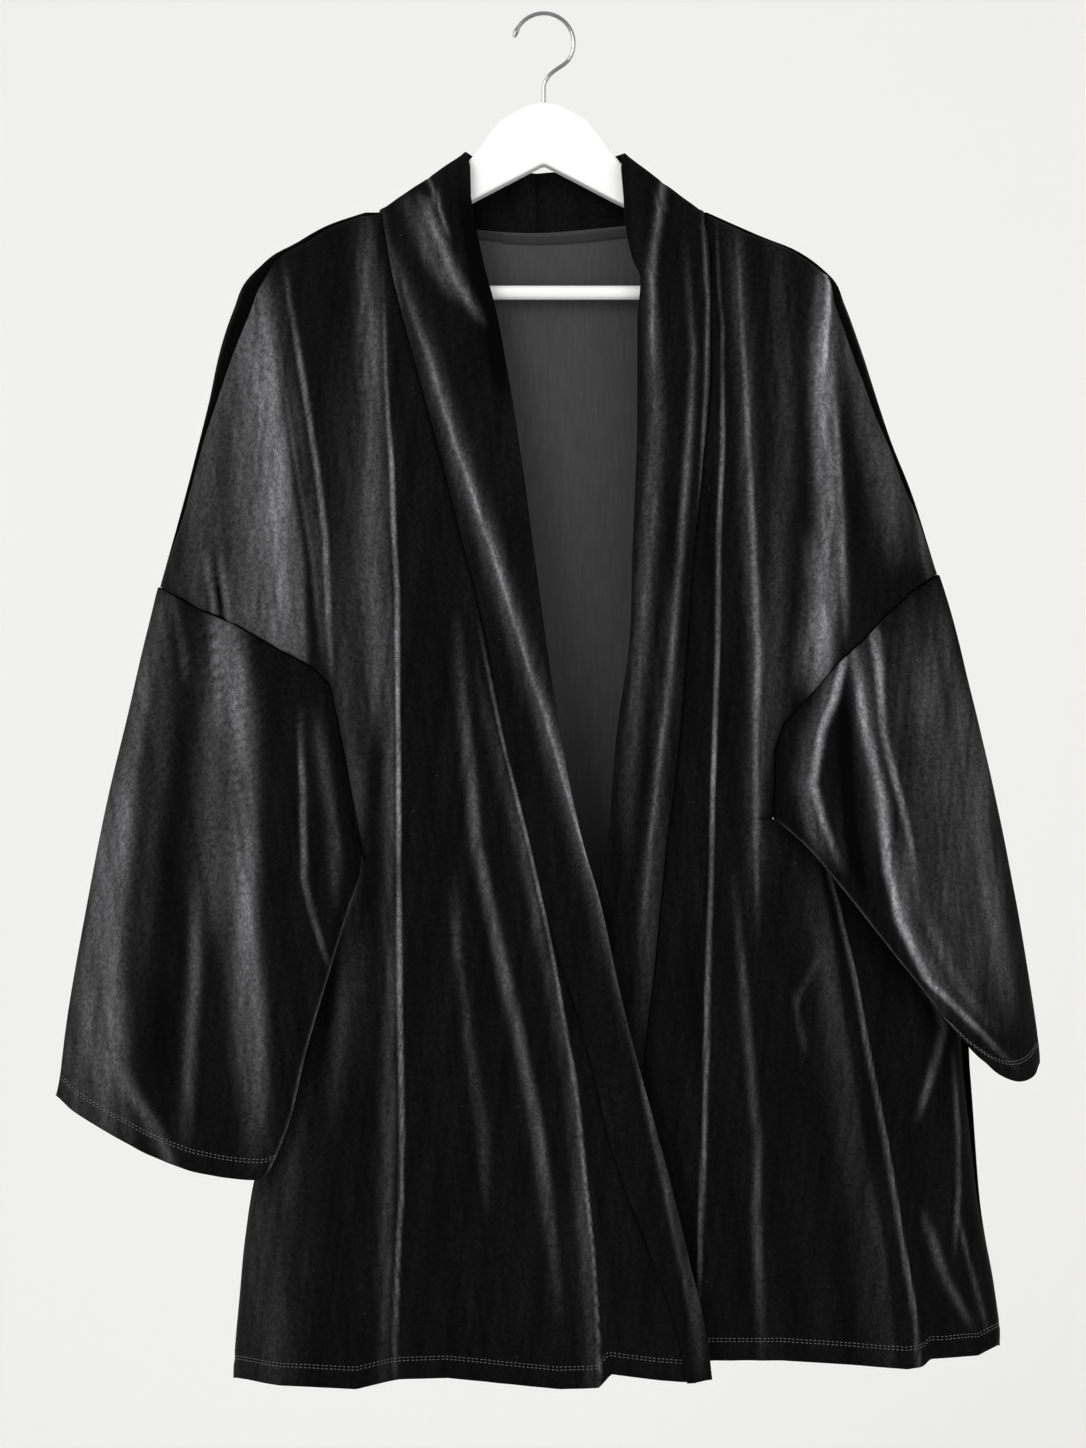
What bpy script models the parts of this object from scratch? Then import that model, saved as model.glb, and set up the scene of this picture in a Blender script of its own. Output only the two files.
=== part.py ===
"""A kimono-cut velvet coat hanging open on a flat wooden hanger.

The origin is the inside top of the hook. +Z is up, +X is right and +Y is back, as one looks at the
coat's front. Left and right in the names are the wearer's. Each cloth piece is a closed wall round
a middle surface: the surface is worked out from sections at named heights, and gets its thickness
along its own normals.
"""

import math

import bmesh
import bpy
import numpy as np

MM = 0.001

# Outlines below are sizes in millimetres as a viewer sees them from the front, on the hanger's plane.
# The eye's distance and height move each point to where it lies at its own depth.
EYE_DISTANCE = 1800.0
EYE_HEIGHT = -567.0

# Thickness of single and of doubled velvet, the gaps left at the seams, and half the armhole's depth.
CLOTH = 1.5
BAND_CLOTH = 2.6
SEAM_GAP = 1.3
BAND_GAP = 1.0
SEAM_HALF = 0.95
ARMHOLE_DEPTH = 20.0
FRONT_INSET = 3.0
INSET_FADE = 60.0

# Heights: where the hem's own line starts to tell, and where each panel and the band begin.
HEM_WARP_START = -900.0
HEM_LEVEL = -1085.0
FRONT_TOP = -162.0
BACK_TOP = -158.5
NECK_EASE_END = -250.0
BAND_START = -172.0

# How many rows and columns each surface has, and how they crowd towards the shoulder and underarm.
ROWS_ABOVE = 8
ROWS_BELOW = 8
CROWD_ABOVE = 1.5
CROWD_BELOW = 1.7
RIGHT_COLUMNS = 21
LEFT_COLUMNS = 19
BAND_COLUMNS = 7
BACK_COLUMNS = 27
BACK_SWING = 1.1
SLEEVE_AROUND = 24
SLEEVE_RINGS = 16
SLEEVE_FLATNESS = 0.12
PARTING_POWER = 8

# The band's free edge lies higher than its seam near the neck; its middle swells forwards.
EDGE_RISE = 34.0
EDGE_RISE_LEVEL = -165.0
EDGE_RISE_FADE = 50.0
SWELL_START = -170.0
SWELL_FADE = 60.0
RIGHT_SWELL = 5.0
LEFT_SWELL = 3.0
EDGE_FORWARD = 2.0

# The tape inside the back neck: its middle, half its length, its thickness, and its three rows.
TAPE_CENTRE = 6.0
TAPE_HALF = 75.0
TAPE_CLOTH = 1.8
TAPE_CLEARANCE = 0.4
TAPE_ROWS = (0.5, 3.5, 7.0)

HANGER_THICKNESS = 14.0
BAR_RADIUS = 5.6
BAR_SIDES = 20
WIRE_RADIUS = 1.6
HOOK_RADIUS = 24.0
HOOK_CENTRE_Z = -22.4

# Height z, and the coat's outline x on either side of it.
SHOULDER_RIGHT = {
    "z": (-155, -167, -183, -191, -203, -214, -235, -272, -310, -387, -457),
    "x": (-131, -169, -199, -215, -229, -239, -248, -260, -268, -288, -307),
}
SHOULDER_LEFT = {
    "z": (-157, -176, -187, -199, -209, -232, -265, -335, -399, -447),
    "x": (127, 171, 199, 218, 230, 241, 253, 276, 300, 315),
}
# The seam where a sleeve is set in, from the shoulder down to the underarm.
ARMHOLE_RIGHT = {
    "x": (-307, -277, -247, -211, -184, -171, -164, -156, -149, -145),
    "z": (-457, -474, -487, -507, -522, -535, -565, -601, -641, -674),
}
ARMHOLE_LEFT = {
    "x": (315, 294, 271, 258, 235, 211, 191, 184, 184, 183),
    "z": (-447, -460, -482, -497, -518, -546, -567, -587, -611, -643),
}
# The side seam from the underarm to the hem.
SIDE_RIGHT = {
    "z": (-674, -690, -705, -722, -740, -775, -819, -867, -943, -981, -1022, -1067, -1087),
    "x": (-145, -147, -151, -159, -168, -184, -199, -212, -233, -239, -243, -247, -248),
}
SIDE_LEFT = {
    "z": (-643, -648, -655, -664, -690, -712, -744, -780, -812, -843, -907, -950, -1021, -1065),
    "x": (183, 180, 186.5, 205, 238, 261, 288, 316, 333, 336, 343, 348, 360, 365),
}
# The seam between a front and its band.
BAND_SEAM_RIGHT = {
    "z": (-155, -207, -268, -331, -415, -498, -570, -663, -739, -817, -919, -986, -1043, -1092),
    "x": (-131, -122, -106, -89, -67, -46, -33, -10, 8, 32, 58, 84, 106, 117),
}
BAND_SEAM_LEFT = {
    "z": (-155, -184, -218, -273, -319, -366, -436, -499, -590, -671, -753, -850, -947, -1080),
    "x": (127, 133, 134, 134, 132, 127, 120, 115, 108, 98, 90, 79, 74, 67),
}
# The free edge of each band, from the neck to the hem.
BAND_EDGE_RIGHT = {
    "z": (-119, -153, -195, -239, -287, -363, -462, -545, -627, -708, -802, -896, -975, -1064, -1090),
    "x": (-62, -57, -49, -38, -29, -17, -4, 8, 23, 44, 65, 91, 111, 131, 134),
}
BAND_EDGE_LEFT = {
    "z": (-123, -176, -199, -207, -245, -323, -435, -508, -570, -661, -708, -787, -907, -1078),
    "x": (63, 67, 73, 77, 75, 75, 71, 68, 59, 51, 44, 37, 25, 10),
}
HEM_FRONT_RIGHT = {
    "x": (-243, -210, -150, -117, -77, 13, 44, 54, 93, 121, 134),
    "z": (-1090, -1096, -1099, -1091, -1090, -1099, -1098, -1087, -1092, -1094, -1091),
}
HEM_FRONT_LEFT = {
    "x": (10, 131, 189, 240, 291, 303, 309, 347, 365),
    "z": (-1078, -1076, -1076, -1079, -1083, -1081, -1075, -1072, -1063),
}
HEM_BACK = {
    "x": (-243, -120, 0, 180, 365),
    "z": (-1088, -1080, -1083, -1074, -1064),
}
# How far each panel stands off the hanger's plane in its middle, and how wide it rounds off to its side.
PANEL_DEPTH = {
    "z": (-155, -200, -300, -450, -700, -1090),
    "depth": (10.0, 11.5, 15.0, 21.0, 27.0, 35.0),
    "rounding": (22.0, 22.0, 25.0, 38.0, 85.0, 85.0),
}
# The right front laps over the left one, so near the middle one stands proud and the other lies low.
LAP_DEPTH = {
    "z": (-450, -640, -720, -1090),
    "right": (0.0, 5.0, 9.0, 13.0),
    "left": (0.0, -2.0, -4.0, -4.0),
}
# The side seams lie behind the sleeves that hang in front of them.
SIDE_SEAM_Y = {
    "z": (-640, -665, -700, -800, -950, -1090),
    "y": (0.0, 7.0, 18.0, 20.0, 12.0, 5.0),
}
# Folds: the line each follows down the cloth, how wide it is on either side of that line, how high it
# stands. A fold that is narrow on one side has a sharp edge there.
FOLD_COLUMNS = ("top x", "top z", "low x", "low z", "left width", "right width", "height")
FOLDS_FRONT_RIGHT = (
    (-211, -215, -168, -505, 7, 10, 4.0),
    (-224, -240, -180, -505, 6, 6, 2.5),
    (-122, -300, -115, -560, 9, 24, 4.0),
    (-115, -520, -119, -1120, 8, 30, 8.0),
    (-25, -740, 8, -1120, 16, 16, 5.0),
    (-8, -690, 48, -1120, 38, 5, 7.0),
    (-190, -800, -200, -1120, 26, 26, 7.0),
    (-62, -560, -64, -1120, 18, 18, -3.0),
)
FOLDS_FRONT_LEFT = (
    (140, -225, 136, -640, 5, 16, 4.0),
    (137, -600, 122, -1120, 5, 20, 5.0),
    (160, -275, 170, -640, 9, 12, 4.0),
    (226, -215, 222, -480, 26, 26, 4.0),
    (153, -730, 176, -1120, 14, 14, 5.0),
    (218, -670, 306, -1120, 40, 9, 15.0),
    (275, -800, 338, -1120, 14, 12, 5.0),
)
FOLDS_BACK = (
    (-205, -230, -160, -560, 14, 14, 3.5),
    (-120, -420, -135, -1120, 18, 30, 7.0),
    (-40, -640, -52, -1120, 24, 16, 5.0),
    (30, -520, 48, -1120, 22, 30, 6.0),
    (120, -460, 130, -1120, 26, 14, 7.0),
    (205, -240, 190, -520, 16, 16, 3.5),
    (205, -700, 250, -1120, 30, 20, 9.0),
    (-190, -760, -205, -1120, 20, 24, 6.0),
)
# Sleeve sections from the armhole to the cuff: the upper edge, the lower edge, half the depth, the
# depth at which either edge lies, all as seen from the front.
SLEEVE_COLUMNS = ("down", "upper x", "upper z", "lower x", "lower z", "half depth", "upper y", "lower y")
SLEEVE_RIGHT = (
    (0.00, -307, -457, -145, -674, 20, 0, 0),
    (0.12, -319, -505, -148, -692, 22, 0, -18),
    (0.25, -331, -556, -157, -716, 24, 0, -32),
    (0.45, -349, -632, -174, -772, 27, 1, -36),
    (0.65, -366, -719, -189, -822, 28, 2, -36),
    (0.85, -381, -806, -204, -884, 24, 2, -34),
    (1.00, -388, -869, -221, -932, 19, 2, -32),
)
SLEEVE_LEFT = (
    (0.00, 315, -447, 183, -643, 20, 0, 0),
    (0.12, 328, -489, 194, -650, 23, 0, -20),
    (0.25, 339, -534, 211, -665, 26, 0, -34),
    (0.45, 357, -609, 240, -699, 30, 0, -38),
    (0.65, 374, -692, 273, -741, 33, 0, -38),
    (0.85, 390, -785, 309, -786, 35, 0, -38),
    (1.00, 398, -843, 334, -819, 34, 0, -38),
)
CUFF_DIP_RIGHT = 20.0
CUFF_DIP_LEFT = 22.0
# The band behind the neck: its seam edge and its free edge, from the shoulder to the centre back.
STAND_COLUMNS = ("seam x", "seam z", "seam y", "edge x", "edge z", "edge y")
STAND_RIGHT = (
    (-128.3, -168, -10.3, -59, -120, -12.2),
    (-129, -160, -8.5, -61, -113.5, -10.0),
    (-130, -157, -3.0, -62, -110.8, -3.5),
    (-129, -157, 3.0, -61, -110.8, 3.5),
    (-124, -160, 9.0, -56, -113.5, 10.0),
    (-96, -167, 12.0, -46, -119, 14.0),
    (-55, -174, 14.5, -30, -124, 16.0),
    (-6.05, -178, 16.0, -6.05, -127, 17.0),
)
STAND_LEFT = (
    (128.8, -169, -10.3, 62, -122, -12.2),
    (128, -162, -8.5, 63, -114.5, -10.0),
    (127, -159, -3.0, 64, -111.8, -3.5),
    (126, -159, 3.0, 63, -111.8, 3.5),
    (121, -161, 9.0, 56, -113.5, 10.0),
    (92, -167, 12.0, 44, -119, 14.0),
    (48, -174, 14.5, 26, -124, 16.0),
    (-5.55, -178, 16.0, -5.55, -127, 17.0),
)
NECK_SEAM = {
    "x": (-131, -124, -96, -55, -6, 48, 92, 121, 127),
    "z": (-158.2, -160.6, -167.6, -174.6, -178.6, -174.6, -167.6, -161.6, -159.9),
    "y": (2.6, 9.0, 12.0, 14.5, 16.0, 14.5, 12.0, 9.0, 2.6),
}

# The flat wooden hanger: its upper edge from the middle out, and its lower edge back to the middle.
HANGER_OUTLINE = {
    "x": (0, 12, 22, 34, 44, 53, 62, 76, 106, 131, 169, 198, 211, 215, 213, 206,
          188, 188, 150, 100, 57, 6, 0),
    "z": (-71, -73, -78, -85, -97, -110, -120, -132, -151, -166, -183, -199, -206, -214, -224, -229,
          -229, -215, -196, -170, -149.5, -123, -120),
}
HANGER_BEVEL = 2.2
BEVEL_SEGMENTS = 2
SHARP_DEGREES = 50.0
BAR_Z = -222.0
BAR_HALF = 187.4

# The hook: the arc's first and last angle in degrees, the bend below it, and its end in the crown.
HOOK_START = 168.0
HOOK_END = -35.0
ARC_POINTS = 22
BEND_POINTS = 9
BEND_LEAD = (-4.7, -6.0)
BEND_PULL = (2.6, -44.5)
BEND_END = (0.0, -57.0)
CROWN_TOP = -70.7
TIP_RADII = (0.9, 1.45)

# Surface colours, as linear red, green and blue, with roughness and metallic.
FINISHES = {
    "velvet": ((0.006, 0.006, 0.007), 0.85, 0.0),
    "binding": ((0.012, 0.012, 0.013), 0.9, 0.0),
    "painted wood": ((0.82, 0.82, 0.80), 0.35, 0.0),
    "chromed wire": ((0.55, 0.55, 0.56), 0.2, 1.0),
}


def smooth_values(table, key, at, name):
    """Values of a column, read at places along the key column by a curve through the rows."""
    keys = np.array(table[key], float)
    values = np.array(table[name], float)
    order = np.argsort(keys)
    keys = keys[order]
    values = values[order]
    slopes = np.gradient(values, keys)
    chord = np.diff(values) / np.diff(keys)
    limit = 2.5 * np.minimum(np.abs(np.append(chord, chord[-1])), np.abs(np.append(chord[0], chord)))
    slopes = np.clip(slopes, -limit, limit)
    at = np.clip(at, keys[0], keys[-1])
    index = np.clip(np.searchsorted(keys, at) - 1, 0, len(keys) - 2)
    span = keys[index + 1] - keys[index]
    t = (at - keys[index]) / span
    ease = t * t * (3 - 2 * t)
    rise = values[index] + (values[index + 1] - values[index]) * ease
    lead_in = slopes[index] * span * (t * t * t - 2 * t * t + t)
    lead_out = slopes[index + 1] * span * (t * t * t - t * t)
    return rise + lead_in + lead_out


def straight_values(table, key, at, name):
    """Values of a column read along the key column by straight lines between the rows."""
    keys = np.array(table[key], float)
    values = np.array(table[name], float)
    order = np.argsort(keys)
    return np.interp(at, keys[order], values[order])


def at_depth(x, z, y):
    """The point that the eye sees at x, z on the hanger's plane, when it lies y behind that plane."""
    scale = 1.0 + y / EYE_DISTANCE
    return np.stack([x * scale, y, EYE_HEIGHT + (z - EYE_HEIGHT) * scale], axis=-1)


def fold_height(folds, x, z):
    """The sum of the folds at x, z: each a bell across its line, faded in and out along it."""
    height = np.zeros_like(x)
    for row in folds:
        fold = dict(zip(FOLD_COLUMNS, row))
        along = (fold["top z"] - z) / (fold["top z"] - fold["low z"])
        line = fold["top x"] + (fold["low x"] - fold["top x"]) * along
        off = x - line
        width = np.where(off < 0, fold["left width"], fold["right width"])
        fade_in = np.clip(along / 0.25, 0, 1)
        fade_out = np.clip((1 - along) / 0.08, 0, 1)
        fade = np.sin(fade_in * math.pi / 2) ** 2 * np.sin(fade_out * math.pi / 2) ** 2
        height = height + fold["height"] * np.exp(-((off / width) ** 2)) * fade
    return height


def armhole_share(armhole, z):
    """How far down the armhole seam a height lies, 0 at the shoulder and 1 at the underarm."""
    top, low = armhole["z"][0], armhole["z"][-1]
    return np.clip((z - top) / (low - top), 0, 1)


def armhole_open(share):
    """Half of the armhole's depth, an ellipse from the shoulder to the underarm."""
    return SEAM_HALF + ARMHOLE_DEPTH * 2 * np.sqrt(share * (1 - share))


def side_x(shoulder, armhole, side, z, inset=0.0):
    """A panel's outline at its side: the shoulder, the armhole seam and the side seam in turn."""
    sign = np.sign(side["x"][-1])
    inset = inset * np.clip((z - armhole["z"][0]) / INSET_FADE, 0, 1)
    on_shoulder = smooth_values(shoulder, "z", z, "x") - sign * inset
    on_armhole = straight_values(armhole, "z", z, "x")
    on_side = smooth_values(side, "z", z, "x")
    x = np.where(z > armhole["z"][0], on_shoulder, on_armhole)
    return np.where(z < armhole["z"][-1], on_side, x)


def panel_y(x, z, edge_x, armhole, facing, folds):
    """Depth of a panel: its side seam's depth, rounding out to the full depth, and the folds on it."""
    depth = smooth_values(PANEL_DEPTH, "z", z, "depth")
    width = smooth_values(PANEL_DEPTH, "z", z, "rounding")
    at_edge = armhole_open(armhole_share(armhole, z))
    centre = smooth_values(SIDE_SEAM_Y, "z", z, "y")
    inside = np.clip(np.abs(x - edge_x) / width, 0, 1)
    rounding = np.sqrt(1 - (1 - inside) ** 2)
    edge_y = centre * (1 - rounding) + facing * at_edge
    full_y = facing * (depth + fold_height(folds, x, z))
    return edge_y * (1 - rounding) + full_y * rounding


def row_heights(armhole, top):
    """Row heights: close together near the shoulder, then the sleeve's own rows, then wider apart."""
    above = top + (armhole["z"][0] - top) * np.linspace(0, 1, ROWS_ABOVE + 1)[:-1] ** CROWD_ABOVE
    turn = np.arange(SLEEVE_AROUND // 2 + 1) / (SLEEVE_AROUND // 2) * math.pi
    beside = armhole["z"][0] + (armhole["z"][-1] - armhole["z"][0]) * (1 - np.cos(turn)) / 2
    beside = np.delete(beside, [1, len(beside) - 2])
    lower = np.linspace(0, 1, ROWS_BELOW + 1)[1:] ** CROWD_BELOW
    below = armhole["z"][-1] + (HEM_LEVEL - armhole["z"][-1]) * lower
    return np.concatenate([above, beside, below])


def hem_moved(z, x, hem):
    """Heights moved so that the lowest row follows the hem, easing off upwards."""
    share = np.clip((HEM_WARP_START - z) / (HEM_WARP_START - HEM_LEVEL), 0, 1)
    return z + share ** 2 * (straight_values(hem, "x", x, "z") - HEM_LEVEL)


def front_grid(shoulder, armhole, side, seam, hem, folds, lap, columns):
    """The middle surface of a front, from its side to its band seam."""
    z = row_heights(armhole, FRONT_TOP)[:, None]
    share = np.linspace(0, 1, columns)[None, :] ** 1.15
    edge = side_x(shoulder, armhole, side, z, FRONT_INSET)
    inner = smooth_values(seam, "z", z, "x")
    x = edge + (inner - edge) * share
    y = panel_y(x, z + 0 * x, edge + 0 * x, armhole, -1.0, folds)
    middle = np.clip(share * 1.6 - 0.6, 0, 1)
    y = y - smooth_values(LAP_DEPTH, "z", z, lap) * middle
    return at_depth(x, hem_moved(z, x, hem), y)


def back_grid(columns):
    """The middle surface of the back, whose top row is the neck seam."""
    left_z = row_heights(ARMHOLE_RIGHT, BACK_TOP)[:, None]
    right_z = row_heights(ARMHOLE_LEFT, BACK_TOP)[:, None]
    left = side_x(SHOULDER_RIGHT, ARMHOLE_RIGHT, SIDE_RIGHT, left_z)
    right = side_x(SHOULDER_LEFT, ARMHOLE_LEFT, SIDE_LEFT, right_z)
    swing = np.linspace(-1, 1, columns)[None, :]
    share = 0.5 + 0.5 * np.sin(swing * BACK_SWING) / math.sin(BACK_SWING)
    x = left + (right - left) * share
    z = left_z + (right_z - left_z) * share
    from_left = panel_y(x, z, left + 0 * x, ARMHOLE_RIGHT, 1.0, FOLDS_BACK)
    from_right = panel_y(x, z, right + 0 * x, ARMHOLE_LEFT, 1.0, FOLDS_BACK)
    y = np.where(share < 0.5, from_left, from_right)
    near_neck = np.clip((z - NECK_EASE_END) / (BACK_TOP - NECK_EASE_END), 0, 1)
    neck_x = np.clip(x, NECK_SEAM["x"][0], NECK_SEAM["x"][-1])
    dip = BACK_TOP - smooth_values(NECK_SEAM, "x", neck_x, "z")
    neck_y = smooth_values(NECK_SEAM, "x", neck_x, "y")
    within = (x > NECK_SEAM["x"][0]) & (x < NECK_SEAM["x"][-1])
    z = z - near_neck * np.where(within, dip, 0.0)
    y = np.where(within, y + (neck_y - y) * near_neck ** PARTING_POWER, y)
    return at_depth(x, hem_moved(z, x, HEM_BACK), y)


def sleeve_grid(sections, armhole, dip, facing_x, rings):
    """The middle surface of a sleeve: rings from the armhole to the cuff, each a flattened loop."""
    table = {name: [row[i] for row in sections] for i, name in enumerate(SLEEVE_COLUMNS)}
    down = np.linspace(0, 1, rings)[:, None]
    angle = (np.arange(SLEEVE_AROUND) / SLEEVE_AROUND * 2 * math.pi)[None, :]
    share = (1 - np.cos(angle)) / 2
    upper_x = smooth_values(table, "down", down, "upper x")
    upper_z = smooth_values(table, "down", down, "upper z")
    lower_x = smooth_values(table, "down", down, "lower x")
    lower_z = smooth_values(table, "down", down, "lower z")
    seam_z = armhole["z"][0] + (armhole["z"][-1] - armhole["z"][0]) * share
    seam_x = straight_values(armhole, "z", seam_z, "x")
    chord_x = armhole["x"][0] + (armhole["x"][-1] - armhole["x"][0]) * share
    bow = (1 - down) ** 2
    chord = np.hypot(lower_x - upper_x, lower_z - upper_z)
    hem_bow = dip * down ** 3 * np.sin(math.pi * share)
    normal_x = (lower_z - upper_z) / chord * facing_x
    normal_z = -np.abs(lower_x - upper_x) / chord
    x = upper_x + (lower_x - upper_x) * share + bow * (seam_x - chord_x) + hem_bow * normal_x
    z = upper_z + (lower_z - upper_z) * share + hem_bow * normal_z
    half = smooth_values(table, "down", down, "half depth")
    centre = smooth_values(table, "down", down, "upper y") * (1 - share)
    centre = centre + smooth_values(table, "down", down, "lower y") * share
    flat = 1 + SLEEVE_FLATNESS * np.sin(math.pi * share) * np.sin(math.pi * down)
    facing = np.sign(np.round(np.sin(angle), 6))
    y = centre - SEAM_HALF * facing * (1 - down) - half * np.sin(angle) * flat
    parted = SEAM_GAP * (1 - down) ** PARTING_POWER
    return at_depth(x + facing_x * parted, z - parted * (1 - share), y)


def seam_points(shoulder, armhole, side, seam, folds, lap):
    """Where a front's band seam runs, row by row: x, z and depth, as seen from the front."""
    z = row_heights(armhole, FRONT_TOP)
    z = z[z < BAND_START]
    x = smooth_values(seam, "z", z, "x")
    edge = side_x(shoulder, armhole, side, z, FRONT_INSET)
    y = panel_y(x, z, edge, armhole, -1.0, folds) - smooth_values(LAP_DEPTH, "z", z, lap)
    return x, z, y


def band_grid(seam_line, edge, stand, hem, swell, columns):
    """The middle surface of a band: from the hem up its front, then round the neck to the centre back."""
    seam_x, seam_z, seam_y = (values[::-1, None] for values in seam_line)
    share = np.linspace(0, 1, columns)[None, :]
    rise = EDGE_RISE * np.exp((seam_z - EDGE_RISE_LEVEL) / EDGE_RISE_FADE)
    edge_z = seam_z + rise
    edge_x = smooth_values(edge, "z", edge_z, "x")
    start_x = seam_x + np.sign(edge_x - seam_x) * BAND_GAP
    x = start_x + (edge_x - start_x) * share
    z = seam_z + rise * share
    swelling = swell * np.clip((SWELL_START - seam_z) / SWELL_FADE, 0, 1)
    y = seam_y - swelling * np.sin(math.pi * share) - EDGE_FORWARD * share
    front = at_depth(x, hem_moved(z, x, hem), y)
    table = {name: np.array([row[i] for row in stand])[:, None] for i, name in enumerate(STAND_COLUMNS)}
    x = table["seam x"] + (table["edge x"] - table["seam x"]) * share
    z = table["seam z"] + (table["edge z"] - table["seam z"]) * share
    y = table["seam y"] + (table["edge y"] - table["seam y"]) * share
    return np.concatenate([front, at_depth(x, z, y)])


def surface_normals(grid, looped):
    """Unit normals of a grid of points, from the differences along its rows and columns."""
    if looped:
        across = np.roll(grid, -1, axis=1) - np.roll(grid, 1, axis=1)
    else:
        across = np.gradient(grid, axis=1)
    down = np.gradient(grid, axis=0)
    normal = np.cross(across, down)
    return normal / np.linalg.norm(normal, axis=2, keepdims=True)


def material(finish):
    """A Principled material with a finish's colour, roughness and metallic value."""
    colour, roughness, metallic = FINISHES[finish]
    made = bpy.data.materials.get(finish) or bpy.data.materials.new(finish)
    made.use_nodes = True
    shader = made.node_tree.nodes["Principled BSDF"]
    shader.inputs["Base Color"].default_value = (*colour, 1.0)
    shader.inputs["Roughness"].default_value = roughness
    shader.inputs["Metallic"].default_value = metallic
    return made


def add_object(name, data, finish):
    """Link an object with its material to the scene."""
    made = bpy.data.objects.new(name, data)
    data.materials.append(material(finish))
    bpy.context.scene.collection.objects.link(made)
    return made


def solid_mesh(name, points, faces):
    """A closed mesh in metres from points in millimetres, with its faces turned outwards."""
    mesh = bpy.data.meshes.new(name)
    mesh.from_pydata((np.asarray(points) * MM).tolist(), [], faces)
    shape = bmesh.new()
    shape.from_mesh(mesh)
    bmesh.ops.recalc_face_normals(shape, faces=shape.faces)
    if shape.calc_volume(signed=True) < 0:
        bmesh.ops.reverse_faces(shape, faces=shape.faces)
    shape.to_mesh(mesh)
    shape.free()
    mesh.shade_smooth()
    return mesh


def cloth_wall(name, grid, thickness, finish, looped=False):
    """A closed wall of even thickness round a middle surface."""
    rows, columns = grid.shape[:2]
    normal = surface_normals(grid, looped)
    sides = np.concatenate([grid + normal * thickness / 2, grid - normal * thickness / 2])
    index = np.arange(2 * rows * columns).reshape(2, rows, columns)
    faces = []
    last = columns if looped else columns - 1
    for row in range(rows - 1):
        for column in range(last):
            beside = (column + 1) % columns
            for side in (0, 1):
                face = [index[side, row, column], index[side, row, beside],
                        index[side, row + 1, beside], index[side, row + 1, column]]
                faces.append(face if side == 0 else face[::-1])
    for column in range(last):
        beside = (column + 1) % columns
        for row in (0, rows - 1):
            face = [index[0, row, column], index[1, row, column],
                    index[1, row, beside], index[0, row, beside]]
            faces.append(face if row == 0 else face[::-1])
    if not looped:
        for row in range(rows - 1):
            for column in (0, columns - 1):
                face = [index[0, row, column], index[0, row + 1, column],
                        index[1, row + 1, column], index[1, row, column]]
                faces.append(face if column == 0 else face[::-1])
    faces = [[int(corner) for corner in face] for face in faces]
    mesh = solid_mesh(name, sides.reshape(-1, 3), faces)
    return add_object(name, mesh, finish)


def make_fronts():
    """The two fronts, and the band along each."""
    right = (SHOULDER_RIGHT, ARMHOLE_RIGHT, SIDE_RIGHT, BAND_SEAM_RIGHT)
    left = (SHOULDER_LEFT, ARMHOLE_LEFT, SIDE_LEFT, BAND_SEAM_LEFT)
    grid = front_grid(*right, HEM_FRONT_RIGHT, FOLDS_FRONT_RIGHT, "right", RIGHT_COLUMNS)
    cloth_wall("front_right", grid, CLOTH, "velvet")
    grid = front_grid(*left, HEM_FRONT_LEFT, FOLDS_FRONT_LEFT, "left", LEFT_COLUMNS)
    cloth_wall("front_left", grid, CLOTH, "velvet")
    line = seam_points(*right, FOLDS_FRONT_RIGHT, "right")
    grid = band_grid(line, BAND_EDGE_RIGHT, STAND_RIGHT, HEM_FRONT_RIGHT, RIGHT_SWELL, BAND_COLUMNS)
    cloth_wall("band_right", grid, BAND_CLOTH, "velvet")
    line = seam_points(*left, FOLDS_FRONT_LEFT, "left")
    grid = band_grid(line, BAND_EDGE_LEFT, STAND_LEFT, HEM_FRONT_LEFT, LEFT_SWELL, BAND_COLUMNS)
    cloth_wall("band_left", grid, BAND_CLOTH, "velvet")


def make_back():
    """The back, and the tape that binds its neck seam inside."""
    grid = back_grid(BACK_COLUMNS)
    cloth_wall("back", grid, CLOTH, "velvet")
    across = [i for i in range(grid.shape[1]) if abs(grid[0, i, 0] - TAPE_CENTRE) < TAPE_HALF]
    top = grid[0, across]
    down = grid[1, across] - top
    down = down / np.linalg.norm(down, axis=1, keepdims=True)
    moved = np.array([0.0, -(CLOTH / 2 + TAPE_CLEARANCE + TAPE_CLOTH / 2), 0.0])
    tape = np.array([top + down * distance + moved for distance in TAPE_ROWS])
    cloth_wall("neck_tape", tape, TAPE_CLOTH, "binding")


def make_sleeves():
    """The two sleeves, each an open tube from its armhole to its cuff."""
    grid = sleeve_grid(SLEEVE_RIGHT, ARMHOLE_RIGHT, CUFF_DIP_RIGHT, -1.0, SLEEVE_RINGS)
    cloth_wall("sleeve_right", grid, CLOTH, "velvet", looped=True)
    grid = sleeve_grid(SLEEVE_LEFT, ARMHOLE_LEFT, CUFF_DIP_LEFT, 1.0, SLEEVE_RINGS)
    cloth_wall("sleeve_left", grid, CLOTH, "velvet", looped=True)


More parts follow.
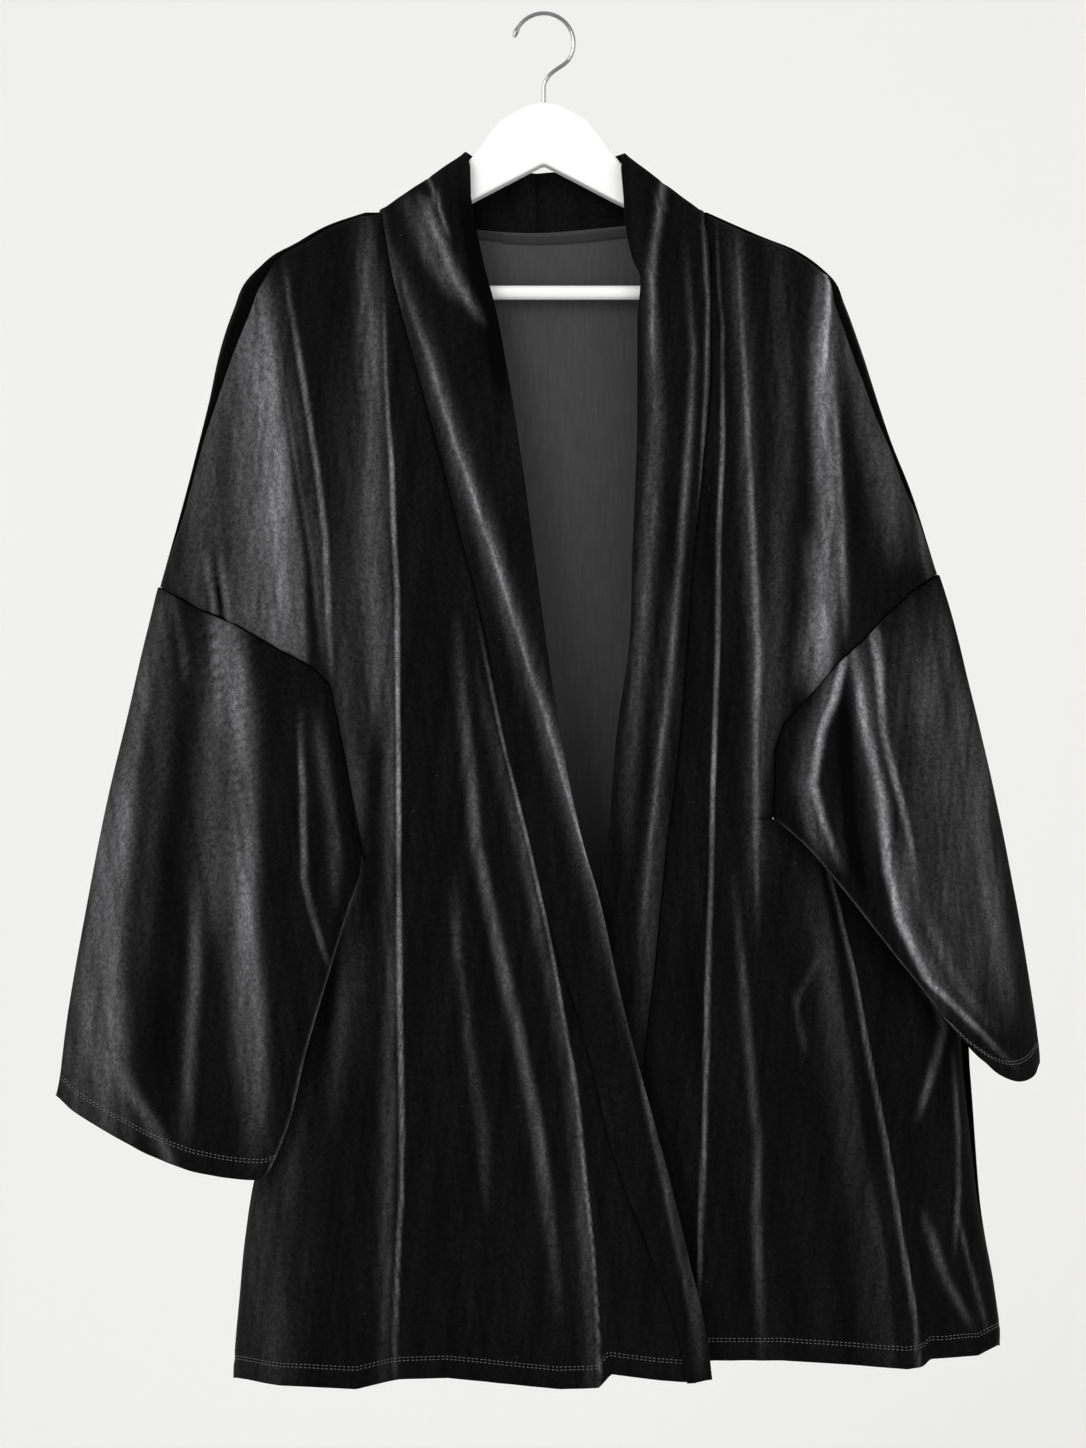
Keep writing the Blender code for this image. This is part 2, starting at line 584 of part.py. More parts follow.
def make_hanger():
    """The flat wooden hanger with its trouser bar and its wire hook."""
    half = list(zip(HANGER_OUTLINE["x"], HANGER_OUTLINE["z"]))
    outline = half + [(-x, z) for x, z in half[-2:0:-1]]
    count = len(outline)
    front = [(x, -HANGER_THICKNESS / 2, z) for x, z in outline]
    back = [(x, HANGER_THICKNESS / 2, z) for x, z in outline]
    faces = [list(range(count)), list(range(2 * count - 1, count - 1, -1))]
    faces += [[i, i + count, (i + 1) % count + count, (i + 1) % count] for i in range(count)]
    body = add_object("hanger_body", solid_mesh("hanger_body", front + back, faces), "painted wood")
    bevel = body.modifiers.new("rounded edges", "BEVEL")
    bevel.width = HANGER_BEVEL * MM
    bevel.segments = BEVEL_SEGMENTS
    bevel.limit_method = "ANGLE"
    bevel.angle_limit = math.radians(SHARP_DEGREES)
    rod = bmesh.new()
    bmesh.ops.create_cone(rod, cap_ends=True, segments=BAR_SIDES, radius1=BAR_RADIUS * MM,
                          radius2=BAR_RADIUS * MM, depth=2 * BAR_HALF * MM)
    mesh = bpy.data.meshes.new("hanger_bar")
    rod.to_mesh(mesh)
    rod.free()
    mesh.shade_smooth()
    bar = add_object("hanger_bar", mesh, "painted wood")
    bar.rotation_euler = (0.0, math.pi / 2, 0.0)
    bar.location = (0.0, 0.0, BAR_Z * MM)
    make_hook()


def make_hook():
    """The wire hook: an arc over the rail, then a bend into the straight shank in the crown."""
    angles = np.radians(np.linspace(HOOK_START, HOOK_END, ARC_POINTS))
    points = [(HOOK_RADIUS * math.cos(a), HOOK_CENTRE_Z + HOOK_RADIUS * math.sin(a)) for a in angles]
    start = np.array(points[-1])
    bend = (start, start + np.array(BEND_LEAD), np.array(BEND_PULL), np.array(BEND_END))
    for t in np.linspace(0, 1, BEND_POINTS)[1:]:
        weights = ((1 - t) ** 3, 3 * t * (1 - t) ** 2, 3 * t * t * (1 - t), t ** 3)
        points.append(tuple(sum(w * p for w, p in zip(weights, bend))))
    points.append((0.0, CROWN_TOP))
    curve = bpy.data.curves.new("hanger_hook", "CURVE")
    curve.dimensions = "3D"
    curve.bevel_depth = WIRE_RADIUS * MM
    curve.bevel_resolution = 3
    curve.use_fill_caps = True
    spline = curve.splines.new("POLY")
    spline.points.add(len(points) - 1)
    for place, (x, z) in zip(spline.points, points):
        place.co = (x * MM, 0.0, z * MM, 1.0)
        place.radius = 1.0
    for place, radius in zip(spline.points, TIP_RADII):
        place.radius = radius
    add_object("hanger_hook", curve, "chromed wire")


def main():
    for old in list(bpy.data.objects):
        bpy.data.objects.remove(old, do_unlink=True)
    make_fronts()
    make_back()
    make_sleeves()
    make_hanger()


main()
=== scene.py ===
# %% [markdown]
# A velvet kimono coat on a wooden hanger.
# The coat hangs open from a flat white hanger: two fronts, one back, two wide sleeves and a
# doubled band that runs up one front, round the neck and down the other. Every piece of cloth
# is a thin shell round a middle surface. We could sculpt it, but a surface worked out from a
# few sizes keeps each seam where the next piece needs it.

# %% Frame
import math

import bpy
import numpy as np
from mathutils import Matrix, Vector


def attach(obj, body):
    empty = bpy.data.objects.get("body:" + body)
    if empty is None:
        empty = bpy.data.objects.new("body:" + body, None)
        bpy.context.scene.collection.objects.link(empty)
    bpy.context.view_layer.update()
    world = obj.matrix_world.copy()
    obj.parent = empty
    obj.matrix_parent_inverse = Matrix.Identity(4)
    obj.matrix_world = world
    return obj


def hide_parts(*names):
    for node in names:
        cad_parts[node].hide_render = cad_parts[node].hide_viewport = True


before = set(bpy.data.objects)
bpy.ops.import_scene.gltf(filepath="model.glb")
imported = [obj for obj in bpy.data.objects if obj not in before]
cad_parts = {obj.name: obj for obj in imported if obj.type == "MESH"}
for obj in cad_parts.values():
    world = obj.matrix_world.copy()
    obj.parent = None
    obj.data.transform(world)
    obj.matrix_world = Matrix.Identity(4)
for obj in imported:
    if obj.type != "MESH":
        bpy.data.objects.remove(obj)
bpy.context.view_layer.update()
print("solids:", sorted(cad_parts))

# %% [markdown]
# The camera comes first. It stands straight in front of the coat, level with its middle, far
# enough away that the hanger's thickness just shows as a grey line under its arms.

# %% Camera
MM = 0.001
EYE_DISTANCE, EYE_X, EYE_HEIGHT = 1800.0, -0.6, -567.0
SEEN_HEIGHT = 1158.4
SENSOR = 36.0


def add_camera():
    """A camera whose picture is SEEN_HEIGHT millimetres tall on the hanger's plane.

    The lens is the sensor's size times the distance over that height."""
    data = bpy.data.cameras.new("camera")
    data.sensor_width = SENSOR
    data.lens = SENSOR * EYE_DISTANCE / SEEN_HEIGHT
    camera = bpy.data.objects.new("camera", data)
    camera.location = (EYE_X * MM, -EYE_DISTANCE * MM, EYE_HEIGHT * MM)
    camera.rotation_euler = (math.pi / 2, 0.0, 0.0)
    bpy.context.scene.collection.objects.link(camera)
    bpy.context.scene.camera = camera
    return camera


print("lens in mm:", round(add_camera().data.lens, 2))

# %% [markdown]
# Materials start with two helpers: one turns a hex colour into linear light, and one adds any
# node with its settings and its links. The short functions after them name the steps that the
# finishes share: a place on the piece, a noise, a range, a mix of two tones and a slight relief.

# %% Colour and node helpers


def linear(hex_colour):
    """Linear red, green, blue and alpha from an sRGB hex string."""
    values = np.array([int(hex_colour[i:i + 2], 16) / 255.0 for i in (1, 3, 5)])
    light = np.where(values <= 0.04045, values / 12.92, ((values + 0.055) / 1.055) ** 2.4)
    return (*[float(v) for v in light], 1.0)


def add_node(tree, kind, settings=None, values=None, links=None):
    """Add a node, set its properties and socket values, and link sockets to others' outputs."""
    node = tree.nodes.new(kind)
    for name, value in (settings or {}).items():
        setattr(node, name, value)
    for name, value in (values or {}).items():
        node.inputs[name].default_value = value
    for name, output in (links or {}).items():
        tree.links.new(output, node.inputs[name])
    return node


def new_material(name):
    """An empty node material with its output node."""
    made = bpy.data.materials.new(name)
    made.use_nodes = True
    made.node_tree.nodes.clear()
    return made, made.node_tree, made.node_tree.nodes.new("ShaderNodeOutputMaterial")


def object_place(tree):
    """The place of a point on its own piece, so that a pattern stays with the cloth."""
    return add_node(tree, "ShaderNodeTexCoord").outputs["Object"]


def drawn_out(tree, place, scale):
    """The place scaled on each axis: a pattern is drawn out along an axis with a small scale."""
    return add_node(tree, "ShaderNodeMapping", {}, {"Scale": scale}, {"Vector": place}).outputs[0]


def noise_value(tree, place, scale, detail, **values):
    """A smooth noise over the place, about 0.5 on average. Its cells are 1 / scale metres wide."""
    values = {"Scale": scale, "Detail": detail, **values}
    return add_node(tree, "ShaderNodeTexNoise", {}, values, {"Vector": place}).outputs["Fac"]


def stretched(tree, value, start, end, low, high):
    """A value between start and end, carried over to the range from low to high."""
    values = {"From Min": start, "From Max": end, "To Min": low, "To Max": high}
    return add_node(tree, "ShaderNodeMapRange", {}, values, {"Value": value}).outputs[0]


def two_tones(tree, share, first, second):
    """A mix of two hex colours by a share from 0 to 1."""
    tones = {6: linear(first), 7: linear(second)}
    return add_node(tree, "ShaderNodeMix", {"data_type": "RGBA"}, tones, {0: share}).outputs[2]


def raised(tree, height, strength, distance):
    """Normals of a surface that the height raises by a distance in metres."""
    sizes = {"Strength": strength, "Distance": distance}
    return add_node(tree, "ShaderNodeBump", {}, sizes, {"Height": height}).outputs[0]


def surfaced(tree, out, values, links):
    """The surface itself: one principled shader with these values and links."""
    shader = add_node(tree, "ShaderNodeBsdfPrincipled", {}, values, links)
    tree.links.new(shader.outputs[0], out.inputs["Surface"])


print("mid grey in linear light:", round(linear("#808080")[0], 3))

# %% [markdown]
# Velvet is a knitted ground with a short cut pile standing on it. Pile that faces the eye is
# almost black, because light falls in between the hairs and stays there. Where the cloth turns
# away, or a hand has brushed the pile over, the hairs show their sides and shine grey. So the
# shader has three parts: a near-black ground, a sheen that wakes at a slant, and a tone that each
# mesh carries as a point attribute. That tone is partly brushed pile and partly painted light:
# painted sheen along the fold ridges and painted shade in some creases.

# %% Velvet
CURL_ACROSS_MM, CURL_ALONG_MM = 1.1, 1.7
CURL_BEND_MM, CURL_REACH_MM = 5.0, 7.0
PATCH_MM = 34.0
LINT_MM = 17.0
LINT_SIZE = 0.03
VELVET_DARK = "#030303"
# The light grey is the brushed pile's colour and also the colour of the painted sheen on fold ridges.
VELVET_BRUSHED_AND_SHEEN = "#a4a4a7"
LINT_GREY = "#7c7c7e"
SHEEN_GREY = "#c9c9cc"


def vector_step(tree, operation, values, links):
    """One step of vector arithmetic."""
    return add_node(tree, "ShaderNodeVectorMath", {"operation": operation}, values, links).outputs[0]


def wandering(tree, place, size_mm, reach_mm):
    """Object coordinates pushed about by a smooth noise, so that a pattern on them curls."""
    sizes = {"Scale": 1000 / size_mm, "Detail": 1.0}
    noise = add_node(tree, "ShaderNodeTexNoise", {}, sizes, {"Vector": place})
    centred = vector_step(tree, "SUBTRACT", {1: (0.5, 0.5, 0.5)}, {0: noise.outputs["Color"]})
    pushed = vector_step(tree, "SCALE", {"Scale": reach_mm * MM}, {0: centred})
    return vector_step(tree, "ADD", {}, {0: place, 1: pushed})


def velvet_material():
    """Ground colour = dark to light grey, by the point attribute (brushed pile, painted sheen and painted
    shade) times a curly mottling and soft larger patches.
    """
    made, tree, out = new_material("brushed stretch velvet")
    place = object_place(tree)
    # This attribute mixes brushed pile with painted sheen on fold ridges and painted shade in creases.
    nap_and_painted_light = add_node(tree, "ShaderNodeAttribute", {"attribute_name": "nap_and_painted_light"}).outputs["Fac"]
    curled = wandering(tree, place, CURL_BEND_MM, CURL_REACH_MM)
    pile = drawn_out(tree, curled, (1.0, 1.0, CURL_ACROSS_MM / CURL_ALONG_MM))
    curl = noise_value(tree, pile, 1000 / CURL_ACROSS_MM / 2, 2.0, Roughness=0.55)
    patch = noise_value(tree, drawn_out(tree, place, (1.0, 1.0, 0.3)), 1000 / PATCH_MM, 5.0, Roughness=0.66)
    lifts = {0: stretched(tree, curl, 0.34, 0.7, 0.62, 1.5),
             1: stretched(tree, patch, 0.3, 0.7, 0.62, 1.3)}
    mottling = add_node(tree, "ShaderNodeMath", {"operation": "MULTIPLY"}, {}, lifts).outputs[0]
    amount = add_node(tree, "ShaderNodeMath", {"operation": "MULTIPLY", "use_clamp": True}, {},
                      {0: mottling, 1: nap_and_painted_light})
    ground = two_tones(tree, amount.outputs[0], VELVET_DARK, VELVET_BRUSHED_AND_SHEEN)
    lint = add_node(tree, "ShaderNodeTexVoronoi", {}, {"Scale": 1000 / LINT_MM}, {"Vector": place})
    speck = stretched(tree, lint.outputs["Distance"], 0.0, LINT_SIZE, 0.6, 0.0)
    coloured = add_node(tree, "ShaderNodeMix", {"data_type": "RGBA"}, {7: linear(LINT_GREY)},
                        {0: speck, 6: ground})
    surfaced(tree, out, {"Roughness": 0.85, "IOR": 1.4, "Specular IOR Level": 0.03, "Sheen Weight": 0.03,
                         "Sheen Roughness": 0.3, "Sheen Tint": linear(SHEEN_GREY)},
             {"Base Color": coloured.outputs[2], "Normal": raised(tree, mottling, 0.25, 0.0005)})
    return made


VELVET = velvet_material()
print(VELVET.name, "has", len(VELVET.node_tree.nodes), "nodes")

# %% [markdown]
# The reverse of velvet is the bare knitted ground: matt dark grey, with short fine ribs. It shows
# through the neck opening, down inside the back.

# %% Velvet reverse
RIB_MM = 1.2
REVERSE_DARK = "#383838"
REVERSE_LIGHT = "#474748"


def reverse_material():
    """Grey ground with fine upright ribs: a noise that is drawn out down the cloth."""
    made, tree, out = new_material("knitted velvet reverse")
    down = drawn_out(tree, object_place(tree), (1.0, 1.0, 0.12))
    ribs = noise_value(tree, down, 1000 / RIB_MM / 2, 2.0)
    surfaced(tree, out, {"Roughness": 0.95, "Specular IOR Level": 0.08},
             {"Base Color": two_tones(tree, ribs, REVERSE_DARK, REVERSE_LIGHT),
              "Normal": raised(tree, ribs, 0.2, 0.0002)})
    return made


REVERSE = reverse_material()
print(REVERSE.name, "has", len(REVERSE.node_tree.nodes), "nodes")

# %% [markdown]
# The binding at the neck is rolled jersey and the stitches are grey polyester thread. The hanger
# is beech under white satin lacquer and the hook is chromed wire. A fine noise in the colour and
# in a slight bump is enough for the cloth and the lacquer, and a noise in the roughness for the
# chrome, as the eye sees them from a distance.

# %% Plain finishes
JERSEY_GRAIN_MM, THREAD_TWIST_MM = 1.0, 0.5
LACQUER_WHITE, LACQUER_PALE = "#ececec", "#f4f4f4"
CHROME_GREY = "#8c8c8e"


def cloth_material(name, dark, light, grain_mm, roughness):
    """A woven look: two tones mixed by a fine noise, which also raises a small bump."""
    made, tree, out = new_material(name)
    grain = noise_value(tree, object_place(tree), 1000 / grain_mm / 2, 3.0)
    surfaced(tree, out, {"Roughness": roughness, "Sheen Weight": 0.2, "Sheen Roughness": 0.5},
             {"Base Color": two_tones(tree, grain, dark, light),
              "Normal": raised(tree, grain, 0.3, 0.0003)})
    return made


def lacquer_material():
    """White satin lacquer on wood: a faint long grain in the colour and a fine orange peel."""
    made, tree, out = new_material("white satin lacquer on beech")
    place = object_place(tree)
    grain = noise_value(tree, drawn_out(tree, place, (0.12, 1.0, 1.0)), 260.0, 3.0)
    peel = noise_value(tree, place, 500.0, 1.0)
    surfaced(tree, out, {"Roughness": 0.32, "IOR": 1.5, "Coat Weight": 0.25, "Coat Roughness": 0.2},
             {"Base Color": two_tones(tree, grain, LACQUER_WHITE, LACQUER_PALE),
              "Normal": raised(tree, peel, 0.06, 0.0002)})
    return made


def chrome_material():
    """Polished chrome on drawn wire: a full metal whose roughness wanders a little."""
    made, tree, out = new_material("chromed steel wire")
    haze = noise_value(tree, object_place(tree), 180.0, 3.0)
    surfaced(tree, out, {"Base Color": linear(CHROME_GREY), "Metallic": 1.0},
             {"Roughness": stretched(tree, haze, 0.0, 1.0, 0.12, 0.3)})
    return made


BINDING = cloth_material("rolled jersey binding", "#0a0a0a", "#1c1c1d", JERSEY_GRAIN_MM, 0.85)
THREAD = cloth_material("grey polyester thread", "#5a5a5c", "#8a8a8d", THREAD_TWIST_MM, 0.6)
LACQUER = lacquer_material()
CHROME = chrome_material()
print("plain finishes:", [made.name for made in (BINDING, THREAD, LACQUER, CHROME)])

# %% [markdown]
# The coat's cut is drawn as a viewer sees it, in millimetres on the hanger's plane: an outline is
# a short table of heights and places, and a curve reads between its rows. Because the eye is
# near, a point that hangs nearer or farther than the hanger has to be moved along its sight line.

# %% Outlines
# How thick the cloth and the doubled band are, how far a sleeve and a band stand off their seams,
# and how far the fronts and the back lie from the middle of a side seam.
CLOTH, BAND_CLOTH = 1.5, 2.6
SEAM_GAP, BAND_GAP, SEAM_HALF = 1.3, 1.0, 0.95
ARMHOLE_DEPTH = 20.0
HEM_WARP_START, HEM_LEVEL = -900.0, -1085.0
FRONT_TOP, BACK_TOP, BAND_START = -162.0, -158.5, -172.0

# Height z, and the coat's outline x on either side of it.
SHOULDER_RIGHT = {
    "z": (-155, -167, -183, -191, -203, -214, -235, -272, -310, -387, -457),
    "x": (-131, -169, -199, -215, -229, -239, -248, -260, -268, -288, -307),
}
SHOULDER_LEFT = {
    "z": (-157, -176, -187, -199, -209, -232, -265, -335, -399, -447),
    "x": (127, 171, 199, 218, 230, 241, 253, 276, 300, 315),
}
# The seam where a sleeve is set in, from the shoulder down to the underarm.
ARMHOLE_RIGHT = {
    "x": (-307, -277, -247, -211, -184, -171, -164, -156, -149, -145),
    "z": (-457, -474, -487, -507, -522, -535, -565, -601, -641, -674),
}
ARMHOLE_LEFT = {
    "x": (315, 294, 271, 258, 235, 211, 191, 184, 184, 183),
    "z": (-447, -460, -482, -497, -518, -546, -567, -587, -611, -643),
}
# The side seam from the underarm to the hem.
SIDE_RIGHT = {
    "z": (-674, -690, -705, -722, -740, -775, -819, -867, -943, -981, -1022, -1067, -1087),
    "x": (-145, -147, -151, -159, -168, -184, -199, -212, -233, -239, -243, -247, -248),
}
SIDE_LEFT = {
    "z": (-643, -648, -655, -664, -690, -712, -744, -780, -812, -843, -907, -950, -1021, -1065),
    "x": (183, 194, 212, 229, 252, 268, 290, 316, 333, 336, 343, 348, 360, 365),
}
# The seam between a front and its band.
BAND_SEAM_RIGHT = {
    "z": (-155, -207, -268, -331, -415, -498, -570, -663, -739, -817, -919, -986, -1043, -1092),
    "x": (-131, -122, -106, -89, -67, -46, -33, -10, 8, 32, 58, 84, 106, 117),
}
BAND_SEAM_LEFT = {
    "z": (-155, -184, -218, -273, -319, -366, -436, -499, -590, -671, -753, -850, -947, -1080),
    "x": (127, 133, 134, 134, 132, 127, 120, 115, 108, 98, 90, 79, 74, 67),
}
# The free edge of each band, from the neck to the hem.
BAND_EDGE_RIGHT = {
    "z": (-119, -153, -195, -239, -287, -363, -462, -545, -627, -708, -802, -896, -975, -1064, -1090),
    "x": (-62, -57, -49, -38, -29, -17, -4, 8, 23, 44, 65, 91, 111, 131, 134),
}
BAND_EDGE_LEFT = {
    "z": (-123, -176, -199, -207, -245, -323, -435, -508, -570, -661, -708, -787, -907, -1078),
    "x": (63, 67, 73, 77, 75, 75, 71, 68, 59, 51, 44, 37, 25, 10),
}
HEM_FRONT_RIGHT = {
    "x": (-243, -210, -150, -117, -77, 13, 44, 54, 93, 121, 134),
    "z": (-1090, -1096, -1099, -1091, -1090, -1099, -1098, -1087, -1092, -1094, -1091),
}
HEM_FRONT_LEFT = {
    "x": (10, 131, 189, 240, 291, 303, 309, 347, 365),
    "z": (-1078, -1076, -1076, -1079, -1083, -1081, -1075, -1072, -1063),
}
HEM_BACK = {
    "x": (-243, -120, 0, 180, 365),
    "z": (-1088, -1080, -1083, -1074, -1064),
}
# Each front's outline: its shoulder, armhole, side seam and seam with the band.
RIGHT = (SHOULDER_RIGHT, ARMHOLE_RIGHT, SIDE_RIGHT, BAND_SEAM_RIGHT)
LEFT = (SHOULDER_LEFT, ARMHOLE_LEFT, SIDE_LEFT, BAND_SEAM_LEFT)
# How far a panel stands off the hanger's plane in its middle, and how wide it rounds off there.
PANEL_DEPTH = {
    "z": (-155, -200, -300, -450, -700, -1090),
    "depth": (10.0, 11.5, 15.0, 21.0, 27.0, 35.0),
    "rounding": (22.0, 22.0, 25.0, 38.0, 85.0, 85.0),
}
# The right front laps over the left one: near the middle it stands proud and the other lies low.
LAP_DEPTH = {
    "z": (-450, -640, -720, -1090),
    "right": (0.0, 5.0, 9.0, 13.0),
    "left": (0.0, -2.0, -4.0, -4.0),
}
# The side seams lie behind the sleeves that hang in front of them.
SIDE_SEAM_Y = {
    "z": (-640, -665, -700, -800, -950, -1090),
    "y": (0.0, 7.0, 18.0, 20.0, 12.0, 5.0),
}

# %% Reading a table
STEEPEST = 2.5


def smooth_values(table, key, at, name):
    """Values of a column, read at places along the key column by a curve through the rows.

    Between two rows the curve is a cubic with a slope at either end. No slope is steeper than
    STEEPEST times the straight line beside it, so the curve can't swing past a row."""
    keys = np.array(table[key], float)
    values = np.array(table[name], float)
    order = np.argsort(keys)
    keys = keys[order]
    values = values[order]
    slopes = np.gradient(values, keys)
    chord = np.diff(values) / np.diff(keys)
    limit = STEEPEST * np.minimum(np.abs(np.append(chord, chord[-1])), np.abs(np.append(chord[0], chord)))
    slopes = np.clip(slopes, -limit, limit)
    at = np.clip(at, keys[0], keys[-1])
    index = np.clip(np.searchsorted(keys, at) - 1, 0, len(keys) - 2)
    span = keys[index + 1] - keys[index]
    t = (at - keys[index]) / span
    ease = t * t * (3 - 2 * t)
    rise = values[index] + (values[index + 1] - values[index]) * ease
    lead_in = slopes[index] * span * (t * t * t - 2 * t * t + t)
    lead_out = slopes[index + 1] * span * (t * t * t - t * t)
    return rise + lead_in + lead_out


def straight_values(table, key, at, name):
    """Values of a column read along the key column by straight lines between the rows."""
    keys = np.array(table[key], float)
    values = np.array(table[name], float)
    order = np.argsort(keys)
    return np.interp(at, keys[order], values[order])


def at_depth(x, z, y):
    """The point that the eye sees at x, z on the hanger's plane, when it lies y behind that plane."""
    scale = 1.0 + y / EYE_DISTANCE
    return np.stack([x * scale, y, EYE_HEIGHT + (z - EYE_HEIGHT) * scale], axis=-1)


print("hem level on the hanger's plane:", HEM_LEVEL)

# %% [markdown]
# Folds are the main thing that a hanging coat shows. Each row below is one fold: the line it
# follows down the cloth, its width to either side and its height. A fold that is wide on one side
# and narrow on the other has a sharp edge, as where cloth laps over itself.

# %% Folds
# Over what shares of its length a fold rises and dies out.
FOLD_FADE_IN, FOLD_FADE_OUT = 0.25, 0.08
FOLD_COLUMNS = ("top x", "top z", "low x", "low z", "left width", "right width", "height")
FOLDS_FRONT_RIGHT = (
    (-211, -215, -168, -505, 7, 10, 4.0),
    (-224, -240, -180, -505, 6, 6, 2.5),
    (-122, -300, -115, -560, 9, 24, 4.0),
    (-115, -520, -119, -1120, 8, 30, 8.0),
    (-25, -740, 8, -1120, 16, 16, 5.0),
    (-8, -690, 48, -1120, 38, 5, 7.0),
    (-190, -800, -200, -1120, 26, 26, 7.0),
    (-62, -560, -64, -1120, 18, 18, -3.0),
)
FOLDS_FRONT_LEFT = (
    (140, -225, 136, -640, 5, 16, 4.0),
    (137, -600, 122, -1120, 5, 20, 5.0),
    (160, -275, 170, -640, 9, 12, 4.0),
    (226, -215, 222, -480, 26, 26, 4.0),
    (153, -730, 176, -1120, 14, 14, 5.0),
    (218, -670, 306, -1120, 40, 9, 15.0),
    (275, -800, 338, -1120, 14, 12, 5.0),
)
FOLDS_BACK = (
    (-205, -230, -160, -560, 14, 14, 3.5),
    (-120, -420, -135, -1120, 18, 30, 7.0),
    (-40, -640, -52, -1120, 24, 16, 5.0),
    (30, -520, 48, -1120, 22, 30, 6.0),
    (120, -460, 130, -1120, 26, 14, 7.0),
    (205, -240, 190, -520, 16, 16, 3.5),
    (205, -700, 250, -1120, 30, 20, 9.0),
    (-190, -760, -205, -1120, 20, 24, 6.0),
)


def fold_height(folds, x, z):
    """The sum of the folds at x, z: each a bell across its line, faded in and out along it."""
    height = np.zeros_like(x)
    for row in folds:
        fold = dict(zip(FOLD_COLUMNS, row))
        along = (fold["top z"] - z) / (fold["top z"] - fold["low z"])
        line = fold["top x"] + (fold["low x"] - fold["top x"]) * along
        off = x - line
        width = np.where(off < 0, fold["left width"], fold["right width"])
        fade_in = np.clip(along / FOLD_FADE_IN, 0, 1)
        fade_out = np.clip((1 - along) / FOLD_FADE_OUT, 0, 1)
        fade = np.sin(fade_in * math.pi / 2) ** 2 * np.sin(fade_out * math.pi / 2) ** 2
        height = height + fold["height"] * np.exp(-((off / width) ** 2)) * fade
    return height


print("folds:", len(FOLDS_FRONT_RIGHT) + len(FOLDS_FRONT_LEFT) + len(FOLDS_BACK))

# %% [markdown]
# A panel's side runs along the shoulder, down the armhole seam and then down the side seam. The
# panel starts at that seam's own depth and rounds out to where the folds stand.

# %% Panel outlines and depth
# How far a front is set in at the shoulder, and over how many millimetres above the armhole
# that grows.
FRONT_TRIM, TRIM_FADE = 3.0, 60.0


def armhole_share(armhole, z):
    """How far down the armhole seam a height lies, 0 at the shoulder and 1 at the underarm."""
    top, low = armhole["z"][0], armhole["z"][-1]
    return np.clip((z - top) / (low - top), 0, 1)


def armhole_open(share):
    """Half of the armhole's depth, an ellipse from the shoulder to the underarm."""
    return SEAM_HALF + ARMHOLE_DEPTH * 2 * np.sqrt(share * (1 - share))


def side_x(shoulder, armhole, side, z, inset=0.0):
    """The outline of a panel's side: the shoulder, the armhole seam and the side seam in turn."""
    sign = np.sign(side["x"][-1])
    inset = inset * np.clip((z - armhole["z"][0]) / TRIM_FADE, 0, 1)
    on_shoulder = smooth_values(shoulder, "z", z, "x") - sign * inset
    on_armhole = straight_values(armhole, "z", z, "x")
    on_side = smooth_values(side, "z", z, "x")
    x = np.where(z > armhole["z"][0], on_shoulder, on_armhole)
    return np.where(z < armhole["z"][-1], on_side, x)


def panel_y(x, z, edge_x, armhole, facing, folds):
    """Depth of a panel: its side seam's, rounding out to the full depth, and the folds on it."""
    depth = smooth_values(PANEL_DEPTH, "z", z, "depth")
    width = smooth_values(PANEL_DEPTH, "z", z, "rounding")
    at_edge = armhole_open(armhole_share(armhole, z))
    centre = smooth_values(SIDE_SEAM_Y, "z", z, "y")
    inside = np.clip(np.abs(x - edge_x) / width, 0, 1)
    rounding = np.sqrt(1 - (1 - inside) ** 2)
    edge_y = centre * (1 - rounding) + facing * at_edge
    full_y = facing * (depth + fold_height(folds, x, z))
    return edge_y * (1 - rounding) + full_y * rounding


def hem_moved(z, x, hem):
    """Heights moved so that the lowest row follows the hem, easing off upwards."""
    share = np.clip((HEM_WARP_START - z) / (HEM_WARP_START - HEM_LEVEL), 0, 1)
    return z + share ** 2 * (straight_values(hem, "x", x, "z") - HEM_LEVEL)


print("right underarm at x", side_x(*RIGHT[:3], RIGHT[1]["z"][-1]))

# %% [markdown]
# A cloth shell is two copies of its middle surface, half a thickness to either side, closed round
# the rim. The outer copy is velvet and the inner one its reverse. The relief is a height along the
# surface's own normal: small creases, the roll of each seam, the dent of the hem's stitching.

# %% Cloth shell
TINY = 1e-9


def surface_normals(grid, looped):
    """Unit normals: the cross product of the differences along the columns and along the rows."""
    if looped:
        across = np.roll(grid, -1, axis=1) - np.roll(grid, 1, axis=1)
    else:
        across = np.gradient(grid, axis=1)
    normal = np.cross(across, np.gradient(grid, axis=0))
    return normal / np.maximum(np.linalg.norm(normal, axis=2, keepdims=True), TINY)


def new_piece(name, mesh):
    """A mesh set into the scene as a named piece."""
    piece = bpy.data.objects.new(name, mesh)
    bpy.context.scene.collection.objects.link(piece)
    return piece


def shell_faces(rows, columns, looped):
    """Corner numbers of the outer, inner and rim quads of a shell whose sides are two grids."""
    index = np.arange(2 * rows * columns).reshape(2, rows, columns)
    ahead = np.roll(index, -1, axis=2)
    last = columns if looped else columns - 1
    a, b = index[:, :-1, :last], ahead[:, :-1, :last]
    c, d = ahead[:, 1:, :last], index[:, 1:, :last]
    outer = np.stack([a[0], b[0], c[0], d[0]], axis=-1).reshape(-1, 4)
    inner = np.stack([a[1], d[1], c[1], b[1]], axis=-1).reshape(-1, 4)
    rims = []
    for row, turn in ((0, 1), (rows - 1, -1)):
        quad = np.stack([index[0, row, :last], index[1, row, :last], ahead[1, row, :last],
                         ahead[0, row, :last]], axis=-1)
        rims.append(quad[:, ::turn])
    if not looped:
        for column, turn in ((0, -1), (columns - 1, 1)):
            quad = np.stack([index[0, :-1, column], index[1, :-1, column], index[1, 1:, column],
                             index[0, 1:, column]], axis=-1)
            rims.append(quad[:, ::turn])
    return outer, inner, np.concatenate(rims)


